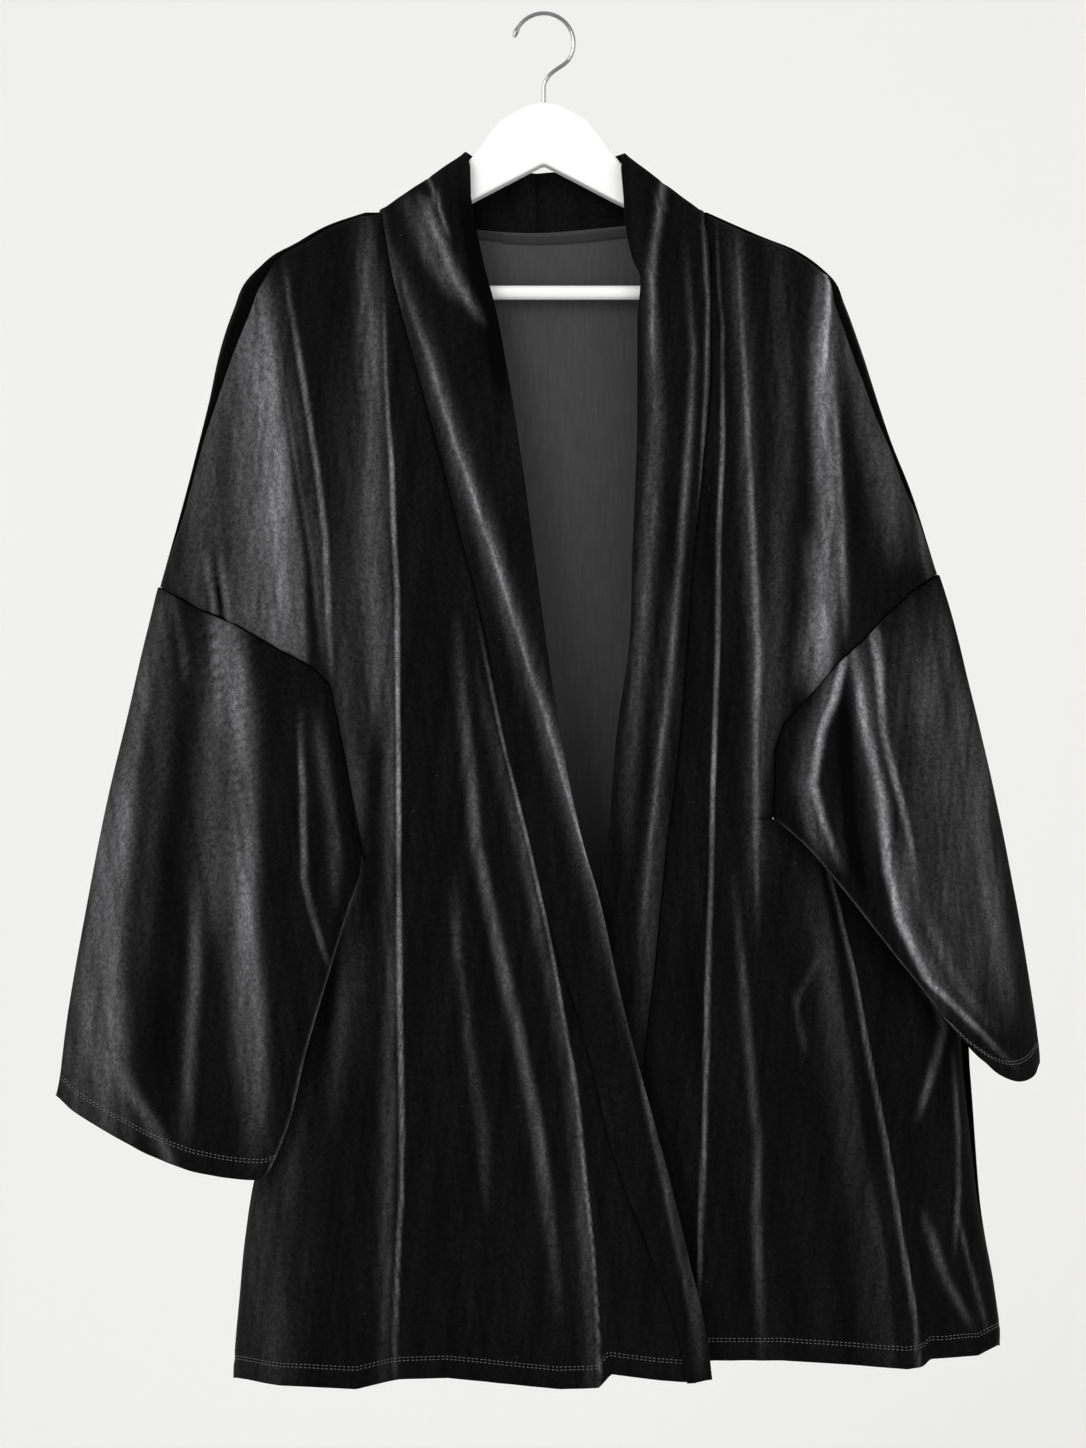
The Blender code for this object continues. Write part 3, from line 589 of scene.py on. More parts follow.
def cloth_shell(name, grid, facing, thickness, nap_and_painted_light, inner=REVERSE, looped=False, rim_columns=0):
    """A closed shell in metres round a grid in millimetres: the grid half a thickness either way.

    Facing, 1 or -1, says which side is velvet. At either border the inner side takes velvet too,
    in as many columns as rim_columns says."""
    rows, columns = grid.shape[:2]
    normal = surface_normals(grid, looped) * facing
    sides = np.stack([grid + normal * thickness / 2, grid - normal * thickness / 2])
    outer_faces, inner_faces, rim_faces = shell_faces(rows, columns, looped)
    faces = np.concatenate([outer_faces, rim_faces, inner_faces])
    if facing < 0:
        faces = faces[:, ::-1]
    mesh = bpy.data.meshes.new(name)
    mesh.from_pydata((sides.reshape(-1, 3) * MM).tolist(), [], faces.tolist())
    for material in (VELVET, inner):
        mesh.materials.append(material)
    slots = np.zeros(len(faces), np.int32)
    within = np.ones((rows - 1, columns if looped else columns - 1), np.int32)
    within[:, :rim_columns] = 0
    within[:, within.shape[1] - rim_columns:] = 0
    slots[len(outer_faces) + len(rim_faces):] = within.ravel()
    mesh.polygons.foreach_set("material_index", slots)
    # Each point's tone, brushed pile with painted sheen and painted shade, goes into a point attribute on
    # both sides of the shell.
    brushed = mesh.attributes.new("nap_and_painted_light", "FLOAT", "POINT")
    brushed.data.foreach_set("value", np.tile(np.clip(nap_and_painted_light, 0, 1).ravel(), 2).astype(np.float32))
    mesh.shade_smooth()
    return new_piece(name, mesh)


def place_sheet(piece, node):
    """Ride on the coat's one body and stand in for the node, whose solid is hidden."""
    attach(piece, "root")
    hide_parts(node)


print("faces of a shell of 3 x 3 points:", sum(len(part) for part in shell_faces(3, 3, False)))

# %% [markdown]
# At a seam the cloth turns in and tucks behind the next piece. Without that turning, daylight
# would show through every seam as a bright line. At the shoulder the back's cloth laps forward as
# far as the front's border instead, with a slight bulge on its way.

# %% Seam turnings
# How far past the edge and how far behind it each new row lies.
TURNING = ((0.4, 0.7), (0.8, 1.7), (3.6, 2.5))
LAP_STEPS = (0.3, 0.65, 1.0)
LAP_BULGE = 1.2
BEHIND_FRONT = 1.5


def turned_in(grid, tone, facing, axis, end, looped=False, target=None, lapped=1.0, ease=1.0):
    """Add a turning at one border: out past the edge and in behind it. End is 0 or -1.

    Where lapped is 1, the turning runs to the target points instead. A small ease holds it back."""
    normal = surface_normals(grid, looped) * facing
    edge = np.take(grid, end, axis=axis)
    within = np.take(grid, 2 if end == 0 else -3, axis=axis)
    inward = np.take(normal, end, axis=axis)
    out = edge - within
    out = out / np.maximum(np.linalg.norm(out, axis=-1, keepdims=True), TINY)
    rows = [edge + out * past * ease - inward * behind * ease for past, behind in TURNING]
    if target is not None:
        laps = [edge + (target - edge) * step + out * LAP_BULGE * math.sin(math.pi * step)
                for step in LAP_STEPS]
        rows = [row + (lap - row) * lapped for row, lap in zip(rows, laps)]
    extra = np.stack(rows if end else rows[::-1], axis=axis)
    dark = np.zeros(extra.shape[:2])
    parts = (grid, extra) if end else (extra, grid)
    tones = (tone, dark) if end else (dark, tone)
    return np.concatenate(parts, axis=axis), np.concatenate(tones, axis=axis)


print("a turning ends", TURNING[-1][1], "mm behind its seam")

# %% [markdown]
# No cloth hangs quite smooth. A soft unevenness, long down the cloth and short across it, comes
# from a sum of sine waves whose directions and phases are drawn once from a seeded generator.

# %% Soft unevenness
WAVES = 14
SHORTEST, LONGEST = 0.6, 1.8
UNEVEN = 0.35


def unevenness(x, z, across_mm, down_mm, seed):
    """Sum of sine waves of about these wavelengths, scaled to about -1 to 1."""
    draw = np.random.default_rng(seed)
    total = np.zeros(np.broadcast(x, z).shape)
    for _ in range(WAVES):
        across = across_mm * draw.uniform(SHORTEST, LONGEST)
        down = down_mm * draw.uniform(SHORTEST, LONGEST) * draw.choice([-1.0, 1.0])
        phase = draw.uniform(0, 2 * math.pi)
        total = total + np.sin(2 * math.pi * (x / across + z / down) + phase)
    return total / math.sqrt(WAVES * 2)


def bell(distance, width):
    """1 on a line and falling off to either side of it, like a soft ridge."""
    return np.exp(-((distance / width) ** 2))


print("a bell at its own width:", round(float(bell(1.0, 1.0)), 3))

# %% [markdown]
# The fronts are worked out in rows from the shoulder to the hem. A row runs from the outline on
# its side, through the rounding at the side seam, to the seam with the band.

# %% Front panels
FINE_ABOVE, FINE_BESIDE, FINE_BELOW = 66, 106, 112
CROWDING, CROWDING_BELOW, CROWDING_ACROSS = 1.5, 1.35, 1.1
SEAM_ROLL, SEAM_ROLL_WIDTH = 1.0, 3.0
HEM_TURN = 16.0
STITCH_DENT, STITCH_DENT_WIDTH = 0.45, 1.8
HEM_SWELL, HEM_SWELL_WIDTH = 0.25, 5.0
LAP_RISE = 1.6


def fine_heights(armhole, top):
    """Row heights: crowded near the shoulder and where the armhole begins, and even down the skirt."""
    start, end = armhole["z"][0], armhole["z"][-1]
    above = top + (start - top) * np.linspace(0, 1, FINE_ABOVE + 1)[:-1] ** CROWDING
    beside = start + (end - start) * np.linspace(0, 1, FINE_BESIDE + 1)[:-1] ** CROWDING
    below = end + (HEM_LEVEL - end) * np.linspace(0, 1, FINE_BELOW) ** CROWDING_BELOW
    return np.concatenate([above, beside, below])


def hem_dent(grid_z):
    """The turned-up hem: a dent along its stitching, and a slight swell halfway down from there."""
    above_hem = grid_z - grid_z[-1:]
    dent = -STITCH_DENT * bell(above_hem - HEM_TURN, STITCH_DENT_WIDTH)
    return dent + HEM_SWELL * bell(above_hem - HEM_TURN / 2, HEM_SWELL_WIDTH)


def with_relief(grid, facing, relief, looped=False):
    """The grid moved along its own normals, towards the velvet side, by the relief."""
    return grid + surface_normals(grid, looped) * facing * relief[..., None]


# How far each front's border is set in at the shoulder, so that the back shows beyond it.
FRONT_INSET_RIGHT = {
    "z": (-155, -170, -185, -203, -214, -235, -272, -310, -355, -400),
    "inset": (5.0, 5.0, 6.0, 10.0, 14.0, 14.0, 11.0, 6.0, 2.0, 0.0),
}
FRONT_INSET_LEFT = {
    "z": (-157, -180, -200, -215, -235, -272, -310, -355, -400),
    "inset": (4.0, 2.5, 3.0, 5.0, 8.0, 8.0, 6.0, 3.0, 0.0),
}


def front_edge(outline, inset, z):
    """A front's outline before and after its shoulder is set in, and its seam with the band."""
    shoulder, armhole, side, seam = outline
    whole_edge = side_x(shoulder, armhole, side, z, FRONT_TRIM)
    inner = smooth_values(seam, "z", z, "x")
    trimmed = np.where(z > armhole["z"][0], smooth_values(inset, "z", z, "inset"), 0.0)
    more = np.maximum(trimmed - FRONT_TRIM, 0.0)
    return whole_edge, whole_edge + np.sign(inner - whole_edge) * more, inner


def front_surface(outline, hem, folds, lines, inset, lap, seed, columns):
    """A front's middle surface with its relief, its tone of brushed pile with painted sheen and painted
    shade, and which way its velvet faces.
    """
    armhole = outline[1]
    z = fine_heights(armhole, FRONT_TOP)[:, None]
    share = np.linspace(0, 1, columns)[None, :] ** CROWDING_ACROSS
    whole_edge, edge, inner = front_edge(outline, inset, z)
    facing = float(np.sign(whole_edge[0, 0] - inner[0, 0]))
    x = edge + (inner - edge) * share
    z = z + 0 * x
    y = panel_y(x, z, whole_edge + 0 * x, armhole, -1.0, folds)
    y = y - smooth_values(LAP_DEPTH, "z", z, lap) * np.clip(share * LAP_RISE - (LAP_RISE - 1), 0, 1)
    moved_z = hem_moved(z, x, hem)
    tone, rise = soft_lines(lines, x, z)
    relief = rise + UNEVEN * unevenness(x, z, 30.0, 260.0, seed)
    relief = relief - SEAM_ROLL * (bell(x - edge, SEAM_ROLL_WIDTH) + bell(x - inner, SEAM_ROLL_WIDTH))
    relief = relief + hem_dent(moved_z)
    grid = with_relief(at_depth(x, moved_z, y), facing, relief)
    under_back = at_depth(x[0], z[0] + BEHIND_FRONT, np.full(columns, BEHIND_FRONT))
    grid, tone = turned_in(grid, brushed(tone, x, z, seed), facing, 0, 0, target=under_back)
    grid, tone = turned_in(grid, tone, facing, 1, -1)
    return grid, tone, facing


print("rows down a front:", len(fine_heights(ARMHOLE_RIGHT, FRONT_TOP)))

# %% [markdown]
# The lesser creases are soft lines, smaller than the folds in the solids. A line also carries a
# tone that is partly brushed pile and partly painted light: painted sheen along a raised ridge and,
# where the tone is below zero, painted shade in a sunken crease. One row is one line: its widths
# on either side, its tone, how far it stands proud, and then x and z of each point on it.

# %% Soft lines
NAP_BASE = 0.008
FADE_SHARE = 0.3
LEAST_BRUSHED, MOST_BRUSHED = 0.2, 2.0


def line_rows(table):
    """The rows of a written table, each up to a semicolon: four sizes, and points as x z pairs."""
    rows = [np.array(row.split(), float) for row in table.split(";")]
    return [(*row[:4], row[4:].reshape(-1, 2)) for row in rows]


def soft_lines(rows, x, z):
    """The tone (brushed pile, painted sheen and painted shade) and the height at x, z: for each line a bell
    across it that fades at its ends.
    """
    tone, rise = np.zeros_like(x), np.zeros_like(x)
    for left, right, brushed_and_painted_tone, height, points in rows:
        line_x, line_z = points.T
        off = x - np.interp(-z, -line_z, line_x)
        fade = FADE_SHARE * (line_z[0] - line_z[-1])
        begin = np.clip((line_z[0] - z) / fade, 0, 1)
        stop = np.clip((z - line_z[-1]) / fade, 0, 1)
        strength = bell(off, np.where(off < 0, left, right)) * np.sin(begin * stop * math.pi / 2) ** 1.5
        tone = tone + brushed_and_painted_tone * strength
        rise = rise + height * strength
    return tone, rise


def brushed(tone, x, z, seed):
    """The tone, brushed pile with painted sheen and painted shade, laid over the base and broken up, across
    the cloth and down it.
    """
    large = 0.3 * unevenness(x, z, 24.0, 170.0, seed + 50)
    small = 0.25 * unevenness(x, z, 8.0, 60.0, seed + 60)
    return np.clip((NAP_BASE + tone) * np.clip(1 + large + small, LEAST_BRUSHED, MOST_BRUSHED), 0, 1)


print("the pile that nobody has brushed has the tone", NAP_BASE)


# %% Both fronts
# The third number of a row is its tone: brushed pile and painted light, with thin bright lines as painted
# sheen on fold ridges and a tone below zero as painted shade in a crease.
LINES_FRONT_RIGHT = line_rows("""
    75 3 0.17 0 -235 -147 -214 -295 -205 -366 -195 -436 -189 -595;
    14 5 0.2 0.8 -225 -179 -217 -295 -212 -366 -208 -436 -211 -579;
    9 8 -0.06 -1 -257 -291 -253 -363 -254 -435 -264 -515;
    1.3 2 0.3 1.3 -209 -191 -201 -244 -193 -293 -182 -363 -176 -413 -169 -547;
    1.6 3 0.1 -1.3 -220 -199 -209 -295 -197 -366 -185 -436 -176 -539;
    4 5 0.05 0.8 -214 -195 -203 -295 -190 -366 -180 -436 -171 -539;
    9 8 0.14 0.6 -142 -131 -139 -251 -137 -339 -136 -435 -134 -595;
    16 10 0.03 0.6 -153 -227 -155 -387 -153 -595 -150 -867;
    1.5 1.1 0.4 1.7 -129 -187 -126 -293 -124 -327 -121 -363 -120 -406 -117 -462 -117 -499 -116 -595 -115
        -787 -114 -848 -113 -902 -114 -951 -117 -1002 -118 -1043 -121 -1131;
    7 2.4 0.08 1.2 -128 -323 -123 -467 -121 -595 -121 -787 -121 -902 -124 -1002 -128 -1147;
    5 3.4 0.15 1.4 -71 -467 -53 -664 -36 -742 -20 -811 -7 -875 3 -939 13 -1043;
    4 4 0.05 1 -73 -675 -69 -749 -59 -827 -49 -891 -43 -971;
    1.3 1 0.3 2 -56 -467 -34 -575 -12 -664 2 -727 13 -787 26 -860 32 -924 39 -988 43 -1051 47 -1147;
    6 2 0.07 0.8 -59 -499 -16 -664 -3 -727 10 -787 23 -860 29 -924 35 -988 43 -1147;
    22 18 0.04 1.4 -191 -675 -207 -867 -219 -987 -229 -1171;
    5 7 0.05 1 -165 -499 -155 -595 -147 -677 -158 -755 -171 -907;
    2.6 2.4 0.14 0.9 -272 -419 -265 -467 -261 -507;
    2.6 2.4 0.14 0.9 -261 -424 -252 -479 -246 -523;
    2.4 2.4 -0.05 -0.9 -266 -424 -259 -472 -254 -515
""")
LINES_FRONT_LEFT = line_rows("""
    1.2 1.2 0.28 1.7 137 -139 140 -218 143 -249 143 -343 140 -413 139 -508 137 -570 135 -631 134 -692 131
        -784 129 -886 125 -988 122 -1131;
    1.8 1.8 0.24 1.4 154 -163 160 -275 165 -371 171 -508 169 -590 171 -755;
    7 6 0.07 0.6 152 -131 160 -275 165 -371 171 -508 169 -755;
    1.8 1.8 0.5 1.5 221 -175 227 -215 227 -235 223 -299;
    7 8 0.34 1.2 224 -179 222 -291 223 -339 226 -403 227 -459 215 -595;
    7 7 0.12 0 215 -403 217 -459 205 -547;
    2 3 0.16 0.9 229 -251 234 -339 237 -403 242 -515;
    12 34 0.085 0 234 -197 251 -291 272 -371 285 -451;
    2.4 4 0.13 0.5 231 -187 258 -275 277 -331 295 -387 314 -483;
    9 9 0.04 0.8 186 -147 193 -339 185 -499 181 -707;
    3 3 0.09 1.2 151 -675 165 -840 171 -901 170 -963 175 -1107;
    1.6 1.1 0.24 2 211 -627 235 -711 247 -763 260 -835 273 -901 286 -983 296 -1039 304 -1131;
    12 3 0.05 1 211 -627 235 -787 253 -901 269 -983 285 -1139;
    2.4 2.6 0.05 -0.8 223 -747 209 -775 199 -797;
    2.4 2.6 0.04 0.7 199 -775 203 -799 210 -835;
    2.6 3 0.14 2 287 -747 305 -781 316 -797 319 -810 311 -843 296 -891;
    1.6 1.6 0.12 0.9 326 -819 331 -899 331 -937 328 -1003;
    1.6 1.6 0.1 0.8 327 -947 344 -1019 357 -1075;
    3 3 0.1 1 301 -951 321 -1015 346 -1067
""")

grid_right, nap_and_painted_light, facing = front_surface(RIGHT, HEM_FRONT_RIGHT, FOLDS_FRONT_RIGHT, LINES_FRONT_RIGHT,
                                        FRONT_INSET_RIGHT, "right", 11, 144)
front_right = cloth_shell("velvet_right_front", grid_right, facing, CLOTH, nap_and_painted_light)
place_sheet(front_right, "front_right")
grid_left, nap_and_painted_light, facing = front_surface(LEFT, HEM_FRONT_LEFT, FOLDS_FRONT_LEFT, LINES_FRONT_LEFT,
                                       FRONT_INSET_LEFT, "left", 12, 128)
front_left = cloth_shell("velvet_left_front", grid_left, facing, CLOTH, nap_and_painted_light)
place_sheet(front_left, "front_left")

# %% [markdown]
# The back is one panel. Its top row is the neck seam, which dips behind the hanger, and its
# shoulders pass over the hanger's arms to meet the fronts just in front of them.

# %% Back panel
NECK_SEAM = {
    "x": (-131, -124, -96, -55, -6, 48, 92, 121, 127),
    "z": (-158.2, -160.6, -167.6, -174.6, -178.6, -174.6, -167.6, -161.6, -159.9),
    "y": (2.6, 9.0, 12.0, 14.5, 16.0, 14.5, 12.0, 9.0, 2.6),
}
NECK_EASE_END, NECK_EASE = -250.0, 8
SPREAD = 1.1
BLEND_START, BLEND_WIDTH = 0.4, 0.2
# Over how many millimetres the lap fades out above the armhole, and the turning grows below it.
LAP_EASE, CORNER_EASE = 40.0, 30.0


def back_surface(seed, columns):
    """The back's middle surface with its relief, and its tone of brushed pile with painted sheen along
    raised ridges.
    """
    left_z = fine_heights(ARMHOLE_RIGHT, BACK_TOP)[:, None]
    right_z = fine_heights(ARMHOLE_LEFT, BACK_TOP)[:, None]
    left = side_x(SHOULDER_RIGHT, ARMHOLE_RIGHT, SIDE_RIGHT, left_z)
    right = side_x(SHOULDER_LEFT, ARMHOLE_LEFT, SIDE_LEFT, right_z)
    share = 0.5 + 0.5 * np.sin(np.linspace(-1, 1, columns)[None, :] * SPREAD) / math.sin(SPREAD)
    x = left + (right - left) * share
    z = left_z + (right_z - left_z) * share
    from_left = panel_y(x, z, left + 0 * x, ARMHOLE_RIGHT, 1.0, FOLDS_BACK)
    from_right = panel_y(x, z, right + 0 * x, ARMHOLE_LEFT, 1.0, FOLDS_BACK)
    blend = np.clip((share - BLEND_START) / BLEND_WIDTH, 0, 1)
    y = from_left + (from_right - from_left) * blend
    near_neck = np.clip((z - NECK_EASE_END) / (BACK_TOP - NECK_EASE_END), 0, 1)
    neck_x = np.clip(x, NECK_SEAM["x"][0], NECK_SEAM["x"][-1])
    within = (x > NECK_SEAM["x"][0]) & (x < NECK_SEAM["x"][-1])
    dip = BACK_TOP - smooth_values(NECK_SEAM, "x", neck_x, "z")
    neck_y = smooth_values(NECK_SEAM, "x", neck_x, "y")
    y = np.where(within, y + (neck_y - y) * near_neck ** NECK_EASE, y)
    z = z - near_neck * np.where(within, dip, 0.0)
    moved_z = hem_moved(z, x, HEM_BACK)
    tone, rise = soft_lines(LINES_BACK, x, z)
    relief = rise + UNEVEN * unevenness(x, z, 34.0, 280.0, seed)
    relief = relief - SEAM_ROLL * (bell(x - left, SEAM_ROLL_WIDTH) + bell(x - right, SEAM_ROLL_WIDTH))
    relief = relief * (1 - near_neck ** 2) + hem_dent(moved_z)
    return with_relief(at_depth(x, moved_z, y), 1.0, relief), brushed(tone, x, z, seed)


# Here the tones are brushed pile with painted sheen along the raised ridges.
LINES_BACK = line_rows("""
    30 26 0.26 0 -215 -215 -205 -330 -190 -480;
    26 30 0.26 0 225 -215 215 -330 200 -470;
    3 4 0.3 1.5 -213 -206 -206 -300 -188 -420 -172 -520;
    4 3 0.34 1.6 222 -198 214 -300 204 -420 196 -520;
    3 6 0.36 1.6 -122 -300 -126 -480 -131 -760 -134 -1090;
    8 10 0.14 1.2 -42 -520 -46 -760 -52 -1090;
    5 8 0.22 1.3 32 -420 38 -700 48 -1090;
    7 4 0.32 1.6 118 -300 122 -560 130 -1090;
    10 8 0.2 1.4 204 -640 226 -860 250 -1090;
    7 9 0.18 1.3 -186 -700 -196 -880 -206 -1090;
    4 4 0.16 1.5 -88 -700 -90 -900 -94 -1090;
    4 4 0.16 1.5 82 -640 86 -860 90 -1090;
    6 6 0.16 1.8 296 -850 312 -940 330 -1060;
    60 60 0.04 0 0 -180 0 -420 0 -700
""")

def lap_under(outline, inset, folds):
    """Points just behind a front's border, which the back's shoulder laps forward to."""
    armhole = outline[1]
    z = fine_heights(armhole, BACK_TOP)[:, None]
    whole_edge, edge, inner = front_edge(outline, inset, z)
    y = panel_y(edge, z, whole_edge, armhole, -1.0, folds)
    points = at_depth(edge + np.sign(inner - edge) * BEHIND_FRONT, z, y + BEHIND_FRONT)
    below = np.clip((armhole["z"][0] - z) / CORNER_EASE, 0.1, 1)
    return points[:, 0], np.clip((z - armhole["z"][0]) / LAP_EASE, 0, 1), below


back_grid, nap_and_painted_light = back_surface(13, 124)
back_sheet = back_grid
for end, outline, inset, folds in ((0, RIGHT, FRONT_INSET_RIGHT, FOLDS_FRONT_RIGHT),
                                   (-1, LEFT, FRONT_INSET_LEFT, FOLDS_FRONT_LEFT)):
    target, lapped, below = lap_under(outline, inset, folds)
    back_sheet, nap_and_painted_light = turned_in(back_sheet, nap_and_painted_light, 1.0, 1, end, target=target, lapped=lapped, ease=below)
back_sheet, nap_and_painted_light = turned_in(back_sheet, nap_and_painted_light, 1.0, 0, 0)
back = cloth_shell("velvet_back", back_sheet, 1.0, CLOTH, nap_and_painted_light, rim_columns=11)
place_sheet(back, "back")

# %% [markdown]
# A sleeve is a flattened tube of rings. Each ring runs from the upper edge round the front to the
# lower edge and back, and the first ring is the armhole seam. The cuff's ring is bowed downwards.

# %% Sleeves
SLEEVE_COLUMNS = ("down", "upper x", "upper z", "lower x", "lower z", "half depth", "upper y", "lower y")
SLEEVE_RIGHT = (
    (0.00, -307, -457, -145, -674, 20, 0, 0),
    (0.12, -319, -505, -148, -692, 22, 0, -18),
    (0.25, -331, -556, -157, -716, 24, 0, -32),
    (0.45, -349, -632, -174, -772, 27, 1, -36),
    (0.65, -366, -719, -189, -822, 28, 2, -36),
    (0.85, -381, -806, -204, -884, 24, 2, -34),
    (1.00, -388, -869, -221, -932, 19, 2, -32),
)
SLEEVE_LEFT = (
    (0.00, 315, -447, 183, -643, 20, 0, 0),
    (0.12, 328, -489, 194, -650, 23, 0, -20),
    (0.25, 339, -534, 211, -665, 26, 0, -34),
    (0.45, 357, -609, 240, -699, 30, 0, -38),
    (0.65, 374, -692, 273, -741, 33, 0, -38),
    (0.85, 390, -785, 309, -786, 35, 0, -38),
    (1.00, 398, -843, 334, -819, 34, 0, -38),
)
CUFF_DIP_RIGHT, CUFF_DIP_LEFT = 20.0, 22.0
# A painted highlight along each sleeve's lower folded edge: its tone, its width in millimetres, and how
# soon it rises down the sleeve.
EDGE_SHINE, EDGE_SHINE_WIDTH, SHINE_RISE = 0.16, 1.6, 6
CORNER_ROUND, CORNER_WIDTH, CORNER_FADE = 5.0, 6.0, 30
PARTED_FADE = 8
# The sleeve is a little fuller in its middle, and its creases differ from front to rear. Towards
# the folded edges the relief and the turning shrink, down to these least shares.
FULLNESS = 0.12
SLEEVE_UNEVEN = 0.5
REAR_SHIFT = 40
CREASE_EASE, CREASE_LEAST, TURN_LEAST = 3, 0.25, 0.1


def sleeve_surface(sections, armhole, dip, facing_x, lines, seed, rings=200, around=200):
    """A sleeve's middle surface with its relief, and its tone of brushed pile with painted sheen and
    painted shade.

    A ring goes round by an angle: x and z run from the upper edge to the lower one by the share
    (1 - cos) / 2, and y swells by half the depth times sin. The armhole's curve fades down it."""
    table = {name: [row[i] for row in sections] for i, name in enumerate(SLEEVE_COLUMNS)}
    down = np.linspace(0, 1, rings)[:, None]
    angle = (np.arange(around) / around * 2 * math.pi)[None, :]
    share = (1 - np.cos(angle)) / 2
    columns = [smooth_values(table, "down", down, name) for name in SLEEVE_COLUMNS[1:]]
    upper_x, upper_z, lower_x, lower_z, half, upper_y, lower_y = columns
    seam_z = armhole["z"][0] + (armhole["z"][-1] - armhole["z"][0]) * share
    seam_x = straight_values(armhole, "z", seam_z, "x")
    chord_x = armhole["x"][0] + (armhole["x"][-1] - armhole["x"][0]) * share
    bow = (1 - down) ** 2
    chord = np.hypot(lower_x - upper_x, lower_z - upper_z)
    hem_bow = dip * down ** 3 * np.sin(math.pi * share)
    corners = bell(share * chord, CORNER_WIDTH) + bell((1 - share) * chord, CORNER_WIDTH)
    hem_bow = hem_bow - CORNER_ROUND * down ** CORNER_FADE * corners
    normal_x = (lower_z - upper_z) / chord * facing_x
    normal_z = -np.abs(lower_x - upper_x) / chord
    x = upper_x + (lower_x - upper_x) * share + bow * (seam_x - chord_x) + hem_bow * normal_x
    z = upper_z + (lower_z - upper_z) * share + hem_bow * normal_z
    centre = upper_y * (1 - share) + lower_y * share
    flat = 1 + FULLNESS * np.sin(math.pi * share) * np.sin(math.pi * down)
    front_or_rear = np.sign(np.round(np.sin(angle), 6))
    y = centre - SEAM_HALF * front_or_rear * (1 - down) - half * np.sin(angle) * flat
    parted = SEAM_GAP * (1 - down) ** PARTED_FADE
    grid = at_depth(x + facing_x * parted, z - parted * (1 - share), y)
    from_front = (1 + np.sin(angle)) / 2
    tone, rise = soft_lines(lines, x, z)
    rear_tone, rear_rise = soft_lines(LINES_SLEEVE_REAR, np.abs(x), z)
    relief = rise * from_front + rear_rise * (1 - from_front)
    relief = relief + SLEEVE_UNEVEN * unevenness(x, z + REAR_SHIFT * np.sin(angle), 26.0, 150.0, seed)
    length = math.hypot(lower_x[-1, 0] - lower_x[0, 0], lower_z[-1, 0] - lower_z[0, 0])
    relief = relief - SEAM_ROLL * bell(down * length, SEAM_ROLL_WIDTH)
    relief = relief - STITCH_DENT * bell((1 - down) * length - HEM_TURN, STITCH_DENT_WIDTH)
    from_fold = np.abs(np.sin(angle)) * CREASE_EASE
    relief = relief * np.clip(from_fold, CREASE_LEAST, 1)
    tone = tone * from_front + rear_tone * (1 - from_front)
    # Painted highlight: a thin bright line of tone along the lower folded edge.
    shining = np.clip(down * SHINE_RISE, 0, 1) * bell((1 - share) * chord, EDGE_SHINE_WIDTH)
    tone = tone + EDGE_SHINE * shining
    tone = brushed(tone, x, z, seed)
    ease = np.clip(from_fold[0], TURN_LEAST, 1)[:, None]
    grid = with_relief(grid, facing_x, relief, looped=True)
    return turned_in(grid, tone, facing_x, 0, 0, looped=True, ease=ease)


# In the sleeve tables below, the tones are brushed pile with painted sheen on raised ridges, and painted
# shade where a tone is below zero.
LINES_SLEEVE_RIGHT = line_rows("""
    70 9 0.15 0.8 -283 -403 -315 -515 -328 -595 -339 -691 -345 -771 -333 -947;
    9 7 0.12 1 -307 -451 -321 -547 -333 -627 -342 -707 -350 -787 -347 -915;
    13 8 0.22 1.4 -257 -403 -243 -547 -238 -627 -238 -707 -233 -787 -225 -939;
    14 7 0.1 0.8 -254 -435 -257 -547 -264 -627 -261 -755;
    5 4 0.1 0.8 -278 -675 -278 -755 -283 -851 -286 -915;
    13 11 -0.008 -1 -297 -547 -304 -675 -310 -755 -307 -891;
    6 5 0.12 1 -347 -827 -331 -859 -315 -883 -293 -931;
    1.6 2.4 0.22 1.4 -195 -547 -193 -627 -192 -691 -185 -723 -168 -775;
    5 4 0.07 1 -182 -547 -173 -611 -166 -667 -166 -723;
    1.6 2.4 0.16 1.2 -264 -467 -261 -515 -259 -579;
    2.4 2.4 0.1 0.8 -297 -451 -291 -483 -285 -539
""")
LINES_SLEEVE_LEFT = line_rows("""
    2.6 3 0.5 2.2 245 -491 231 -547 221 -575 215 -615 222 -642 239 -687;
    9 5 0.1 0 239 -499 226 -547 216 -575 211 -615 217 -642 234 -691;
    3 3 0.5 2.2 242 -475 253 -547 258 -573 265 -603 271 -628 275 -683 285 -725 307 -771 343 -807 381 -847;
    6 7 0.12 0 242 -475 255 -547 263 -603 272 -651 289 -725 313 -771 353 -819;
    2 2.4 0.36 1.4 253 -459 266 -518 269 -547 271 -573 279 -607 285 -628 301 -699;
    2.2 2.2 0.14 0.8 259 -467 267 -499 271 -539;
    34 26 0.07 0 298 -459 320 -595 343 -707 368 -819;
    6 5 -0.02 -1.6 239 -523 242 -595 245 -651 261 -723;
    7 7 0.08 0.8 309 -435 329 -531 339 -595 349 -659 361 -723 378 -819;
    5 6 0.08 0.9 282 -643 305 -723 333 -779 365 -819;
    5 5 0.06 0.8 202 -595 210 -639 226 -683
""")
LINES_SLEEVE_REAR = line_rows("""
    14 12 0.26 1.3 256 -420 250 -520 244 -660;
    10 10 0.22 1.4 300 -450 308 -600 322 -860;
    8 8 0.14 1.2 346 -540 352 -640 362 -780;
    3 3 0.18 1.1 228 -520 232 -600 240 -690
""")

